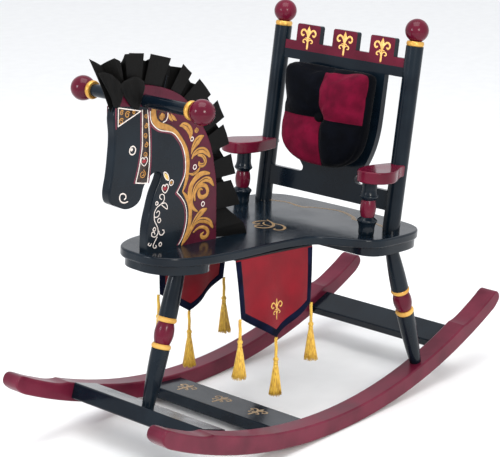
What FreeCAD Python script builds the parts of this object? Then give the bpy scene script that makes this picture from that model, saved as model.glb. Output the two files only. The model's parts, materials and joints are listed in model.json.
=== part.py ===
"""Rocking horse chair for a small child: a flat painted horse head on a plank seat, a low back with a
castle-shaped crest and a shield cushion, three turned legs and two curved rockers joined by slats.

Frame, in millimetres: +X towards the horse's nose, +Y to its left, +Z up, and the origin on the floor
midway between the rockers. Each entry of PARTS is written to parts/NAME.step.
"""

import math
import os

import FreeCAD
import Part

V = FreeCAD.Vector
UP = V(0, 0, 1)
SIDES = (("left", 1), ("right", -1))

# Rockers
ROCKER_RADIUS = 984.0        # of the arc that rolls on the floor
ROCKER_DEPTH = 29.0          # at X = 0
ROCKER_TOP_RADIUS = 906.0    # smaller, so the rocker grows deeper towards its ends
ROCKER_THICKNESS = 36.0
ROCKER_CENTRE_Y = 162.0
ROCKER_ARC_X = 430.0         # the rolling arc ends here, and the nose begins
ROCKER_TOP_X = 335.0         # the top edge leaves its arc here to sweep up to the nose
ROCKER_EDGE = 3.0

# Slats between the rockers: angle about the rocker's centre, width, thickness, height above the rolling arc
SLATS = {
    "front_slat": (18.2, 55.0, 27.0, 6.0),
    "footrest": (6.3, 78.0, 20.0, 2.0),
    "rear_slat": (-19.3, 54.0, 16.5, 1.5),
}

# Seat
SEAT_HEIGHT = 318.8          # of the seat's top at X = 0
SEAT_TILT = 4.4              # degrees, rising to the front
SEAT_THICKNESS = 15.0
SEAT_FRONT = 322.0
SEAT_REAR = 228.0
LOBE_HALF_WIDTH = 86.0
HIP_OVERHANG = 20.0          # of the seat's hips past the middle of each rear leg
SEAT_EDGE = 3.0
BLOCK_THICKNESS = 15.0
FRONT_BLOCK_INSET = 8.0
REAR_BLOCK_INSET = 4.0
BLOCK_CORNER = 30.0          # radius of the corners that face the middle of the seat
FRONT_BLOCK_X = 211.0
REAR_BLOCK_X = -59.0

# The seat's half outline, as shares of the front and rear lengths and of the two half widths
LOBE = ((1.0, 0.0), (0.988, 0.35), (0.947, 0.6), (0.87, 0.8), (0.776, 0.92), (0.665, 0.975),
        (0.525, 1.0), (0.323, 1.0), (0.084, 1.045))
HIPS = ((-0.022, 0.544), (-0.096, 0.643), (-0.175, 0.786), (-0.25, 0.912), (-0.33, 0.978), (-0.447, 1.0),
        (-0.68, 0.995), (-0.833, 0.945), (-0.93, 0.835), (-0.974, 0.66), (-0.996, 0.33), (-1.0, 0.0))

# Legs
FRONT_LEG_LEAN = 18.4        # degrees back from upright
REAR_LEG_FOOT_X = -212.0
REAR_LEG_LEAN = 20.0         # degrees forward from upright
LEG_FOOT_R = 10.0
LEG_TOP_R = 11.0
LEG_BODY_R = 15.2
LEG_GROOVE_R = 14.0          # where each ring meets its neighbours
LEG_RING_R = 16.3
LEG_BARREL_END_R = 12.5
LEG_BARREL_R = 16.2
LEG_RING_HEIGHT = 8.5
LEG_BARREL_HEIGHT = 36.0
FRONT_BARREL_DOWN = 117.0    # from the leg's top to the barrel's middle
REAR_BARREL_DOWN = 105.0
TENON_R = 5.0
TENON_LENGTH = 11.0

# Back
POST_R = 15.0
POST_X = -150.6              # of the post's axis at the seat's top
POST_INSET = 18.0            # of the post's axis from the middle of the rear leg
POST_LEAN = 9.3              # degrees back from upright
POST_LENGTH = 314.5
FINIAL_R = 20.0
RING_R = 15.0
RING_HEIGHT = 8.5
PANEL_THICKNESS = 12.0
RAIL_BOTTOM = 31.5           # heights along the posts, from the seat
RAIL_TOP = 65.5
CREST_BOTTOM = 260.0
CREST_TOP = 292.0
MERLON_TOP = 323.0
MERLON_WIDTH = 52.0
MERLON_CORNER = 4.0          # radius of the merlons' upper corners
MERLON_END_GAP = 22.0        # between the outer merlons and the posts
SPLAT_HALF_WIDTH = 94.0

# Arms
ARM_POST_X = -86.0
ARM_POST_INSET = 4.0         # of the arm post's axis from the back post's
ARM_HEIGHT = 94.0            # of the armrest's underside above the seat
ARM_THICKNESS = 20.0

# Cushion
CUSHION_HALF_WIDTH = 89.0
CUSHION_BOTTOM = 88.0
CUSHION_TOP = 259.0
CUSHION_THICKNESS = 50.0
PAD_THICKNESS = 1.5
PAD_SIZE = 42.0
BUTTON_R = 10.0

# Head
HEAD_THICKNESS = 18.0
HEAD_EDGE = 3.0
NECK_BACK_X = 143.0
NECK_FRONT_X = 306.0
HANDLE_X = 307.0
HANDLE_RISE = 266.7          # above the seat's top at X = 0
HANDLE_R = 10.0
HANDLE_BALL_Y = 127.0
HANDLE_RING_R = 15.0
HANDLE_RING_HEIGHT = 8.0
MANE_THICKNESS = 14.0

# Saddle flags and tassels
FLAG_THICKNESS = 3.0
FLAG_REAR = (-3.0, 95.0)     # X and Y of the top edge's two ends, under the seat's edge
FLAG_FRONT = (180.0, 87.0)
FLAG_DROP = 96.0
FLAG_POINT_DROP = 141.0
FLAG_FLARE = 4.0             # degrees that the stiff lining holds the flag out from upright
FLAG_GAP = 0.8
STRAP_THICKNESS = 2.0
TASSEL_CORD_R = 2.2
TASSEL_CORD_LENGTH = 35.0
TASSEL_SKIRT_LENGTH = 56.0
TASSEL_SKIRT_R = 11.0

HIP_HALF_WIDTH = ROCKER_CENTRE_Y + HIP_OVERHANG
POST_Y = ROCKER_CENTRE_Y - POST_INSET
ARM_POST_Y = POST_Y - ARM_POST_INSET
MERLON_PITCH = POST_Y - POST_R - MERLON_END_GAP - MERLON_WIDTH / 2
HANDLE_Z = SEAT_HEIGHT + HANDLE_RISE
TAN_TILT = math.tan(math.radians(SEAT_TILT))
SEAT_NORMAL = V(-math.sin(math.radians(SEAT_TILT)), 0, math.cos(math.radians(SEAT_TILT)))
POST_AXIS = V(-math.sin(math.radians(POST_LEAN)), 0, math.cos(math.radians(POST_LEAN)))

PARTS = {}


# Small helpers

def moved(shape, base, rotation):
    """A copy of the shape, turned about the origin and then moved to base."""
    copy = shape.copy()
    copy.Placement = FreeCAD.Placement(base, rotation) * shape.Placement
    return copy


def place(shape, base, direction=UP):
    """The shape moved to base, with its +Z turned to direction."""
    return moved(shape, base, FreeCAD.Rotation(UP, direction))


def mirrored(shape):
    return shape.mirror(V(0, 0, 0), V(0, 1, 0))


def seat_z(x):
    """Height of the seat's top at x."""
    return SEAT_HEIGHT + x * TAN_TILT


def on_seat(shape):
    """A shape drawn flat, with z = 0 as the seat's top, tilted to lie with the seat."""
    return moved(shape, V(0, 0, SEAT_HEIGHT), FreeCAD.Rotation(V(0, 1, 0), -SEAT_TILT))


def on_back(shape):
    """A shape drawn upright, with z = 0 at the seat, leaned back to stand between the posts."""
    return moved(shape, V(POST_X, 0, seat_z(POST_X)), FreeCAD.Rotation(V(0, 1, 0), -POST_LEAN))


def box(x0, x1, y0, y1, z0, z1):
    return Part.makeBox(x1 - x0, y1 - y0, z1 - z0, V(x0, y0, z0))


def spline(points, closed=False):
    curve = Part.BSplineCurve()
    curve.interpolate(points, PeriodicFlag=closed)
    return curve.toShape()


def slab(edges, start, along):
    """A solid from a closed loop of edges, moved to start and pushed along a vector."""
    face = Part.Face(Part.Wire(Part.__sortEdges__(edges)))
    face.translate(start)
    return face.extrude(along)


def polygon_slab(points, along):
    return Part.Face(Part.makePolygon(points + [points[0]])).extrude(along)


def lathe(points):
    """A solid turned about Z from (radius, height) or (radius, height, bulge) points; bulge bows the
    edge that ends at the point outwards."""
    corners = [V(0, 0, points[0][1])] + [V(p[0], 0, p[1]) for p in points] + [V(0, 0, points[-1][1])]
    bulges = [0.0] + [p[2] if len(p) > 2 else 0.0 for p in points[1:]] + [0.0]
    edges = []
    for a, b, bulge in zip(corners, corners[1:], bulges):
        if bulge:
            out = V(b.z - a.z, 0, a.x - b.x).normalize()
            edges.append(Part.Arc(a, (a + b) * 0.5 + out * bulge, b).toShape())
        elif (b - a).Length > 1e-6:
            edges.append(Part.makeLine(a, b))
    edges.append(Part.makeLine(corners[-1], corners[0]))
    return Part.Face(Part.Wire(edges)).revolve(V(0, 0, 0), UP, 360)


def rounded(shape, radius, wanted):
    """The shape with a fillet on each edge that wanted picks."""
    edges = [e for e in shape.Edges if wanted(e)]
    return shape.makeFillet(radius, edges)


def screw(length, radius):
    """A countersunk wood screw from its head at z = 0 up to its point."""
    head = radius * 1.9
    return lathe([(head, 0), (head, 0.4), (radius, head), (radius, length - 2 * radius), (0.4, length)])


def dowel(a, b, radius):
    return place(Part.makeCylinder(radius, (b - a).Length), a, b - a)


def cut(names, tools):
    """Take the tools out of each named part."""
    for name in names:
        PARTS[name] = PARTS[name].cut(tools)


# Rockers and the slats between them

def arc_point(radius, angle, y=0.0):
    """A point at an angle in degrees from straight down, about the rocker's centre."""
    a = math.radians(angle)
    return V(radius * math.sin(a), y, ROCKER_RADIUS - radius * math.cos(a))


def arc_angle(radius, x):
    return math.degrees(math.asin(x / radius))


def rocker():
    low = arc_angle(ROCKER_RADIUS, ROCKER_ARC_X)
    heel, crown = arc_point(ROCKER_RADIUS, low), V(ROCKER_TOP_X, 0, rocker_top(ROCKER_TOP_X))
    nose = [heel, heel + V(11, 0, 8), heel + V(18.5, 0, 21), heel + V(12, 0, 32)]
    sweep = [heel + V(-10, 0, 26.5), heel + V(-48, 0, 8.5), crown]
    curve = Part.BSplineCurve()
    curve.interpolate(nose + sweep)
    front = curve.toShape()
    rear = front.mirror(V(0, 0, 0), V(1, 0, 0))
    bottom = Part.Arc(arc_point(ROCKER_RADIUS, -low), V(0, 0, 0), heel).toShape()
    top = Part.Arc(V(-crown.x, 0, crown.z), V(0, 0, ROCKER_DEPTH), crown).toShape()
    solid = slab([bottom, front, top, rear], V(0, ROCKER_CENTRE_Y - ROCKER_THICKNESS / 2, 0),
                 V(0, ROCKER_THICKNESS, 0))
    return rounded(solid, ROCKER_EDGE, lambda e: abs(e.BoundBox.YLength) < 0.01)


def rocker_top(x):
    return ROCKER_DEPTH + ROCKER_TOP_RADIUS - math.sqrt(ROCKER_TOP_RADIUS ** 2 - x * x)


def slat(angle, width, thickness, rise):
    half = ROCKER_CENTRE_Y - ROCKER_THICKNESS / 2
    board = box(-width / 2, width / 2, -half, half, 0, thickness)
    board = rounded(board, 2.5, lambda e: e.BoundBox.YLength > half)
    base = arc_point(ROCKER_RADIUS - rise, angle)
    return moved(board, base, FreeCAD.Rotation(V(0, 1, 0), -angle))


def make_base():
    PARTS["left_rocker"] = rocker()
    PARTS["right_rocker"] = mirrored(PARTS["left_rocker"])
    inner = ROCKER_CENTRE_Y - ROCKER_THICKNESS / 2
    pins = []
    for name, (angle, width, thickness, rise) in SLATS.items():
        PARTS[name] = slat(angle, width, thickness, rise)
        middle = ROCKER_RADIUS - rise - thickness / 2
        for side in (1, -1):
            for turn in (-1, 1):
                at = angle + turn * math.degrees(width * 0.27 / middle)
                centre = arc_point(middle, at)
                pins.append(dowel(centre + V(0, side * (inner - 20), 0), centre + V(0, side * (inner + 20), 0), 4))
    PARTS["slat_dowels"] = Part.makeCompound(pins)
    cut(list(SLATS) + ["left_rocker", "right_rocker"], pins)


# Seat

def seat_outline():
    points = [V(x * SEAT_FRONT, y * LOBE_HALF_WIDTH, 0) for x, y in LOBE]
    points += [V(x * SEAT_REAR, y * HIP_HALF_WIDTH, 0) for x, y in HIPS]
    return spline(points + [V(p.x, -p.y, 0) for p in points[-2:0:-1]], closed=True)


def inset_outline(outline, inset):
    """A smooth loop that runs inside the outline at a constant distance."""
    curve = outline.Curve
    points = []
    for n in range(60):
        at = curve.FirstParameter + (curve.LastParameter - curve.FirstParameter) * n / 60
        along = curve.tangent(at)[0]
        points.append(curve.value(at) + V(-along.y, along.x, 0) * inset)
    return spline(points, closed=True)


def block(outline, inset, x0, x1, inner):
    """A layer under the seat from x0 to x1, with rounded corners at the end that is at inner."""
    whole = Part.Face(Part.Wire(inset_outline(outline, inset))).extrude(V(0, 0, -BLOCK_THICKNESS))
    whole.translate(V(0, 0, -SEAT_THICKNESS))
    whole = whole.common(box(x0, x1, -300, 300, -100, 0))
    return on_seat(rounded(whole, BLOCK_CORNER, lambda e: e.BoundBox.YLength < 0.01 and e.BoundBox.XLength < 0.01
                           and abs(e.BoundBox.XMin - inner) < 0.1))


def make_seat():
    outline = seat_outline()
    board = slab([outline], V(0, 0, -SEAT_THICKNESS), V(0, 0, SEAT_THICKNESS))
    PARTS["seat_board"] = on_seat(rounded(board, SEAT_EDGE, lambda e: e.BoundBox.ZLength < 0.01))
    PARTS["front_block"] = block(outline, FRONT_BLOCK_INSET, FRONT_BLOCK_X, SEAT_FRONT, FRONT_BLOCK_X)
    PARTS["rear_block"] = block(outline, REAR_BLOCK_INSET, -SEAT_REAR, REAR_BLOCK_X, REAR_BLOCK_X)
    places = [(FRONT_BLOCK_X + 20, 54), (SEAT_FRONT - 42, 38), (REAR_BLOCK_X - 27, 84), (-SEAT_REAR + 32, 98)]
    one = screw(SEAT_THICKNESS + BLOCK_THICKNESS - 5, 2.0)
    low = -SEAT_THICKNESS - BLOCK_THICKNESS
    screws = [on_seat(place(one, V(x, y * side, low))) for x, y in places for side in (1, -1)]
    PARTS["seat_screws"] = Part.makeCompound(screws)
    cut(["seat_board", "front_block", "rear_block"], screws)


# Legs

def leg(length, barrel_down):
    """A turned leg from its foot at z = 0, with a tenon at each end."""
    middle = length - barrel_down
    low, high = middle - LEG_BARREL_HEIGHT / 2, middle + LEG_BARREL_HEIGHT / 2
    ring = LEG_RING_HEIGHT
    bead = LEG_RING_R - LEG_GROOVE_R
    return lathe([
        (TENON_R, -TENON_LENGTH),
        (TENON_R, 0),
        (LEG_FOOT_R, 0),
        (LEG_BODY_R, low - ring, 1.2),
        (LEG_GROOVE_R, low - ring),
        (LEG_GROOVE_R, low, bead),
        (LEG_BARREL_END_R, low),
        (LEG_BARREL_END_R, high, LEG_BARREL_R - LEG_BARREL_END_R),
        (LEG_GROOVE_R, high),
        (LEG_GROOVE_R, high + ring, bead),
        (LEG_BODY_R, high + ring),
        (LEG_TOP_R, length, 0.8),
        (TENON_R, length),
        (TENON_R, length + TENON_LENGTH),
    ])


def leg_between(foot, lean, barrel_down):
    """A leg that leans back by lean degrees, from its foot to the underside of the seat's block."""
    a = math.radians(lean)
    direction = V(-math.sin(a), 0, math.cos(a))
    low = seat_z(foot.x) - (SEAT_THICKNESS + BLOCK_THICKNESS) / math.cos(math.radians(SEAT_TILT))
    length = (low - foot.z) / (direction.z - direction.x * TAN_TILT)
    return place(leg(length, barrel_down), foot, direction)


def make_legs():
    angle, _, thickness, rise = SLATS["front_slat"]
    slat_top = arc_point(ROCKER_RADIUS - rise - thickness, angle)
    under = on_seat(box(-600, 600, -300, 300, -500, -SEAT_THICKNESS - 1.5))
    PARTS["front_leg"] = leg_between(slat_top, FRONT_LEG_LEAN, FRONT_BARREL_DOWN)
    foot = V(REAR_LEG_FOOT_X, ROCKER_CENTRE_Y, rocker_top(REAR_LEG_FOOT_X))
    rear = leg_between(foot, -REAR_LEG_LEAN, REAR_BARREL_DOWN)
    PARTS["left_rear_leg"] = rear
    PARTS["right_rear_leg"] = mirrored(rear)
    for name in ("front_leg", "left_rear_leg", "right_rear_leg"):
        PARTS[name] = PARTS[name].common(under)
    socket_and_seat(("front_leg",), ("front_slat", "front_block"))
    socket_and_seat(("left_rear_leg",), ("left_rocker", "rear_block"))
    socket_and_seat(("right_rear_leg",), ("right_rocker", "rear_block"))


def socket_and_seat(legs, boards):
    """Bore each board for the leg's tenons."""
    cut(boards, [PARTS[name] for name in legs])


# Back posts, panel and finials

def make_back():
    low = -PANEL_THICKNESS / 2
    base = V(POST_X, POST_Y, seat_z(POST_X))
    floor = on_seat(box(-500, 500, -300, 300, 0, 900))
    post = place(lathe([(POST_R, -6), (POST_R, POST_LENGTH)]), base, POST_AXIS).common(floor)
    spigot = lathe([(5, POST_LENGTH - 14), (5, POST_LENGTH + RING_HEIGHT)])
    ring = lathe([(5, POST_LENGTH), (RING_R - 1.5, POST_LENGTH), (RING_R - 1.5, POST_LENGTH + RING_HEIGHT, 1.5),
                  (5, POST_LENGTH + RING_HEIGHT)])
    ring = ring.cut(Part.makeCylinder(5, RING_HEIGHT, V(0, 0, POST_LENGTH)))
    foot_z = math.sqrt(FINIAL_R ** 2 - 9.0 ** 2)
    centre = POST_LENGTH + RING_HEIGHT + foot_z
    ball = Part.makeSphere(FINIAL_R, V(0, 0, centre))
    ball = ball.cut(box(-30, 30, -30, 30, centre - 40, centre - foot_z)).fuse(spigot).removeSplitter()
    for side, sign in SIDES:
        for name, shape in (("back_post", post), ("finial_ring", place(ring, base, POST_AXIS)),
                            ("finial", place(ball, base, POST_AXIS))):
            PARTS[f"{side}_{name}"] = shape if sign > 0 else mirrored(shape)
        cut([f"{side}_back_post"], [PARTS[f"{side}_finial"]])

    def bar(half, z0, z1, middle=0.0):
        return box(low, -low, middle - half, middle + half, z0, z1)

    half = [(1.0, CREST_BOTTOM + 4), (1.0, CREST_BOTTOM), (1.0, 200), (0.99, 162), (0.947, 135), (0.86, 109),
            (0.72, 86), (0.6, RAIL_TOP + 7), (0.575, RAIL_TOP - 8)]
    side = [V(low, y * SPLAT_HALF_WIDTH, z) for y, z in half]
    other = [V(low, -p.y, p.z) for p in side]
    edges = [spline(side), spline(other), Part.makeLine(side[0], other[0]), Part.makeLine(side[-1], other[-1])]
    panel = slab(edges, V(0, 0, 0), V(PANEL_THICKNESS, 0, 0))
    panel = panel.fuse([bar(POST_Y, RAIL_BOTTOM, RAIL_TOP), bar(POST_Y, CREST_BOTTOM, CREST_TOP)]
                       + [bar(MERLON_WIDTH / 2, CREST_TOP - 5, MERLON_TOP, n * MERLON_PITCH) for n in (-1, 0, 1)])
    panel = panel.removeSplitter()
    panel = rounded(panel, 7.0, lambda e: e.BoundBox.YLength < 0.01 and e.BoundBox.ZLength < 0.01
                    and abs(e.BoundBox.ZMin - RAIL_TOP) < 0.1 and abs(e.BoundBox.YMin) < SPLAT_HALF_WIDTH)
    panel = rounded(panel, MERLON_CORNER, lambda e: e.BoundBox.YLength < 0.01 and e.BoundBox.ZLength < 0.01
                    and e.BoundBox.ZMin > MERLON_TOP - 0.1)
    panel = on_back(panel)
    PARTS["back_panel"] = panel.cut([PARTS["left_back_post"], PARTS["right_back_post"]])

    pins = []
    for sign in (1, -1):
        for z in (RAIL_BOTTOM + 17, CREST_BOTTOM + 9, CREST_TOP - 8):
            pins.append(on_back(dowel(V(0, sign * (POST_Y - 36), z), V(0, sign * (POST_Y - 6), z), 3)))
    PARTS["panel_dowels"] = Part.makeCompound(pins)
    cut(["back_panel", "left_back_post", "right_back_post"], pins)

    one = screw(62, 2.5)
    start = POST_AXIS * (-(SEAT_THICKNESS + BLOCK_THICKNESS) / (POST_AXIS.dot(SEAT_NORMAL)))
    screws = [place(one, V(base.x, sign * base.y, base.z) + start, POST_AXIS) for _, sign in SIDES]
    PARTS["back_post_screws"] = Part.makeCompound(screws)
    cut(["seat_board", "rear_block", "left_back_post", "right_back_post"], screws)


# Arm posts and armrests

def arm_outline():
    top_x = POST_X - ARM_HEIGHT * math.tan(math.radians(POST_LEAN))
    inner = [V(top_x, POST_Y - 14, 0), V(ARM_POST_X - 32, POST_Y - 22, 0), V(ARM_POST_X + 12, POST_Y - 19, 0),
             V(ARM_POST_X + 30, POST_Y - 8, 0)]
    outer = [V(ARM_POST_X + 32, POST_Y + 14, 0), V(ARM_POST_X + 19, POST_Y + 33, 0),
             V(ARM_POST_X - 10, POST_Y + 38, 0), V(ARM_POST_X - 40, POST_Y + 25, 0), V(top_x, POST_Y + 15, 0)]
    return [spline(inner + outer), Part.makeLine(outer[-1], inner[0])]


def make_arms():
    rest = slab(arm_outline(), V(0, 0, ARM_HEIGHT), V(0, 0, ARM_THICKNESS))
    rest = on_seat(rounded(rest, 2.5, lambda e: e.BoundBox.ZLength < 0.01 and e.BoundBox.XLength > 1))
    rest = max(rest.cut(PARTS["left_back_post"]).Solids, key=lambda s: s.Volume)
    upright = lathe([
        (12.5, 0), (13.5, 9, 0.4), (16.0, 22, -0.8), (16.0, 27, 1.2), (11.0, 31), (11.0, 60, 2.6),
        (14.6, 64), (14.8, 69, 1.2), (12.8, 80, -0.6), (12.0, ARM_HEIGHT, 0.2),
    ])
    upright = on_seat(place(upright, V(ARM_POST_X, ARM_POST_Y, 0)))
    pin = on_seat(dowel(V(ARM_POST_X, ARM_POST_Y, ARM_HEIGHT - 14), V(ARM_POST_X, ARM_POST_Y, ARM_HEIGHT + 14), 4))
    post_x = POST_X - (ARM_HEIGHT + ARM_THICKNESS / 2) * math.tan(math.radians(POST_LEAN))
    back = on_seat(place(screw(46, 2.0), V(post_x - POST_R + 1.0, POST_Y, ARM_HEIGHT + ARM_THICKNESS / 2), V(1, 0, 0)))
    low = -SEAT_THICKNESS - BLOCK_THICKNESS
    under = on_seat(place(screw(56, 2.25), V(ARM_POST_X, ARM_POST_Y, low)))
    groups = {"armrest_dowels": pin, "armrest_screws": back, "arm_post_screws": under}
    for side, sign in SIDES:
        PARTS[f"{side}_armrest"] = rest if sign > 0 else mirrored(rest)
        PARTS[f"{side}_arm_post"] = upright if sign > 0 else mirrored(upright)
    for name, shape in groups.items():
        PARTS[name] = Part.makeCompound([shape, mirrored(shape)])
    cut(["left_armrest", "right_armrest"], [PARTS["armrest_dowels"], PARTS["armrest_screws"]])
    cut(["left_arm_post", "right_arm_post"], [PARTS["armrest_dowels"], PARTS["arm_post_screws"]])
    cut(["left_back_post", "right_back_post"], [PARTS["armrest_screws"]])
    cut(["seat_board", "rear_block"], [PARTS["arm_post_screws"]])


# Cushion

def cushion_section(inset, n):
    """The shield outline, drawn in by inset, at n in front of the panel's middle."""
    middle = (CUSHION_TOP + CUSHION_BOTTOM) / 2
    half = (CUSHION_TOP - CUSHION_BOTTOM) / 2
    shape = ((0.0, 0.965), (0.45, 0.965), (0.8, 0.985), (0.95, 0.96), (1.0, 0.84), (0.985, 0.45), (0.97, 0.0),
             (0.94, -0.42), (0.8, -0.75), (0.46, -0.96), (0.0, -1.0))
    w, h = CUSHION_HALF_WIDTH - inset, half - inset
    points = [V(n, y * w, middle + z * h) for y, z in shape]
    return Part.Wire(spline(points + [V(n, -p.y, p.z) for p in points[-2:0:-1]], closed=True))


def make_cushion():
    hook = PANEL_THICKNESS / 2
    back = hook + 2 * PAD_THICKNESS
    front = back + CUSHION_THICKNESS
    sections = [(9, back), (1.5, back + 9), (0, back + 24), (5, front - 9), (16, front)]
    body = Part.makeLoft([cushion_section(inset, n) for inset, n in sections], True)
    middle = (CUSHION_TOP + CUSHION_BOTTOM) / 2
    pit = place(lathe([(BUTTON_R, 0), (BUTTON_R + 14, 9)]), V(front - 8, 0, middle), V(1, 0, 0))
    button = place(lathe([(BUTTON_R, 0), (BUTTON_R, 1.5), (2.0, 5.5, 0.8)]), V(front - 8, 0, middle), V(1, 0, 0))
    PARTS["cushion"] = on_back(body.cut(pit))
    PARTS["cushion_button"] = on_back(button)
    half = PAD_SIZE / 2
    for name, x in (("hook_pads", hook), ("loop_pads", hook + PAD_THICKNESS)):
        pads = [box(x, x + PAD_THICKNESS, -half, half, z - half, z + half) for z in (middle - 42, middle + 42)]
        PARTS[name] = Part.makeCompound([on_back(p) for p in pads])


# Head, handle and mane

def make_head():
    y = -HEAD_THICKNESS / 2
    low = -20

    def run(*points):
        """Points at x and a height above SEAT_HEIGHT."""
        return [V(x, y, SEAT_HEIGHT + z) for x, z in points]

    neck_front = run((NECK_FRONT_X, low), (NECK_FRONT_X, 21), (NECK_FRONT_X, 45), (303, 69), (295, 94),
                     (285, 119), (277, 132), (272, 143))
    jaw = run((272, 143), (284, 149), (300, 142), (311, 129), (319, 111), (335, 103), (353, 104), (370, 112),
              (382, 119), (385.5, 131), (381, 154), (374, 193), (371.5, 229), (372, 255), (364, 269),
              (345, 284), (312, 291), (283, 286), (246, 273), (217, 256), (193, 230), (173, 201), (158, 173),
              (149, 140), (NECK_BACK_X + 1, 111), (NECK_BACK_X, 86), (NECK_BACK_X, 41), (NECK_BACK_X, low))
    edges = [spline(neck_front), spline(jaw), Part.makeLine(jaw[-1], neck_front[0])]
    head = slab(edges, V(0, 0, 0), V(0, HEAD_THICKNESS, 0))
    head = head.common(on_seat(box(-500, 600, -300, 300, 0, 900)))
    head = rounded(head, HEAD_EDGE, lambda e: e.BoundBox.YLength < 0.01 and e.BoundBox.ZLength > 20)
    bar = Part.makeCylinder(HANDLE_R, 2 * (HANDLE_BALL_Y - 6), V(HANDLE_X, -HANDLE_BALL_Y + 6, HANDLE_Z), V(0, 1, 0))
    PARTS["handle_bar"] = bar
    PARTS["head_board"] = head.cut(bar)
    ball_face = math.sqrt(FINIAL_R ** 2 - HANDLE_R ** 2)
    start = HANDLE_BALL_Y - ball_face - HANDLE_RING_HEIGHT
    ring = lathe([(HANDLE_R, start), (HANDLE_RING_R - 1.5, start),
                  (HANDLE_RING_R - 1.5, start + HANDLE_RING_HEIGHT, 1.5), (HANDLE_R, start + HANDLE_RING_HEIGHT)])
    ring = ring.cut(Part.makeCylinder(HANDLE_R, HANDLE_RING_HEIGHT, V(0, 0, start)))
    ball = Part.makeSphere(FINIAL_R, V(0, 0, HANDLE_BALL_Y))
    ball = ball.cut(box(-30, 30, -30, 30, HANDLE_BALL_Y - 30, HANDLE_BALL_Y - ball_face))
    end = V(HANDLE_X, 0, HANDLE_Z)
    for side, sign in SIDES:
        PARTS[f"{side}_handle_ring"] = place(ring, end, V(0, sign, 0))
        PARTS[f"{side}_handle_ball"] = place(ball, end, V(0, sign, 0)).cut(bar)

    one = screw(SEAT_THICKNESS + BLOCK_THICKNESS + 30, 2.5)
    bottom = -SEAT_THICKNESS - BLOCK_THICKNESS
    screws = [on_seat(place(one, V(x, 0, bottom))) for x in (256, 275, 294)]
    PARTS["head_screws"] = Part.makeCompound(screws)
    cut(["front_block", "seat_board", "head_board"], screws)

    half = MANE_THICKNESS / 2
    outer = ((376, 271), (398, 303), (412, 341), (384, 328), (356, 336), (318, 337), (288, 331), (240, 315),
             (205, 293), (176, 269), (148, 241), (122, 206), (106, 165), (95, 121), (88, 76), (80, 31),
             (80, 80 * TAN_TILT + 0.5), (160, 160 * TAN_TILT + 0.5), (170, 131), (200, 211), (300, 271))
    mane = polygon_slab([V(x, -half, SEAT_HEIGHT + z) for x, z in outer], V(0, MANE_THICKNESS, 0))
    PARTS["mane"] = max(mane.cut([PARTS["head_board"], bar]).Solids, key=lambda s: s.Volume)
    tacks = []
    for x, z, turn in ((119, 81, 90), (122, 131, 83), (138, 186, 62), (190, 252, 42), (250, 296, 18), (318, 311, 0)):
        a = math.radians(turn)
        inward = V(math.sin(a), 0, -math.cos(a))
        tack = lathe([(3.5, 0), (3.5, 0.8), (1.1, 0.8), (1.1, 34), (0.3, 38)])
        tacks.append(place(tack, V(x, 0, SEAT_HEIGHT + z), inward))
    PARTS["mane_tacks"] = Part.makeCompound(tacks)
    cut(["mane", "head_board"], tacks)


# Saddle flags and their tassels

def flag_axes():
    """The turn from a flag's own axes, X along its top edge and Z up in it, and the top edge's length."""
    run = math.hypot(FLAG_FRONT[0] - FLAG_REAR[0], FLAG_FRONT[1] - FLAG_REAR[1])
    toe = math.degrees(math.asin((FLAG_FRONT[1] - FLAG_REAR[1]) / run))
    turn = FreeCAD.Rotation(V(0, 1, 0), -SEAT_TILT) * FreeCAD.Rotation(UP, toe)
    return turn * FreeCAD.Rotation(V(1, 0, 0), FLAG_FLARE), run


def make_flags():
    turn, run = flag_axes()
    low = -SEAT_THICKNESS - STRAP_THICKNESS
    start = on_seat(Part.Vertex(FLAG_REAR[0], FLAG_REAR[1] - FLAG_THICKNESS, low - FLAG_GAP)).Point
    corners = {"rear": (3, -FLAG_DROP), "point": (run * 0.47, -FLAG_POINT_DROP), "front": (run - 14, -FLAG_DROP)}
    beside = {"rear": -3.2, "point": 0.0, "front": 3.2}
    outline = [(0, 0), corners["rear"], corners["point"], corners["front"], (run, 0)]
    flag = polygon_slab([V(u, -FLAG_THICKNESS / 2, v) for u, v in outline], V(0, FLAG_THICKNESS, 0))
    flag = moved(flag, start, turn)

    ends = [V(x, y - FLAG_THICKNESS, 0) for x, y in (FLAG_REAR, FLAG_FRONT)]
    band = [ends[0], ends[1], V(ends[1].x, -ends[1].y, 0), V(ends[0].x, -ends[0].y, 0)]
    strap = polygon_slab([p + V(0, 0, low) for p in band], V(0, 0, STRAP_THICKNESS))
    tack = lathe([(3.0, 0), (3.0, 0.8), (0.9, 0.8), (0.9, 9), (0.2, 11)])
    tacks = []
    for step in range(5):
        at = ends[0] + (ends[1] - ends[0]) * (0.07 + 0.215 * step)
        for _, sign in SIDES:
            tacks.append(on_seat(place(tack, V(at.x, sign * (at.y - 12), low - 0.8))))
    PARTS["saddle_strap"] = on_seat(strap).cut(tacks)
    PARTS["strap_tacks"] = Part.makeCompound(tacks)
    cut(["seat_board"], tacks)

    cord, knot = TASSEL_CORD_LENGTH, 11.0
    skirt = cord + knot
    tassel = lathe([
        (TASSEL_CORD_R, 0), (TASSEL_CORD_R, cord), (4.5, cord + 1), (4.5, skirt, 1.8),
        (7.5, skirt + 6, 0.8), (TASSEL_SKIRT_R, skirt + TASSEL_SKIRT_LENGTH),
    ])
    label = moved(box(32, 47, -FLAG_THICKNESS / 2 - 0.8, -FLAG_THICKNESS / 2, -37, -26), start, turn)
    PARTS["sewn_label"] = mirrored(label)
    for side, sign in SIDES:
        PARTS[f"{side}_flag"] = flag if sign > 0 else mirrored(flag)
        for name, (u, v) in corners.items():
            top = start + turn.multVec(V(u, 0, v)) + V(beside[name], 0, -0.8)
            hung = place(tassel, top, V(0, 0, -1))
            PARTS[f"{side}_{name}_tassel"] = hung if sign > 0 else mirrored(hung)


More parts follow.
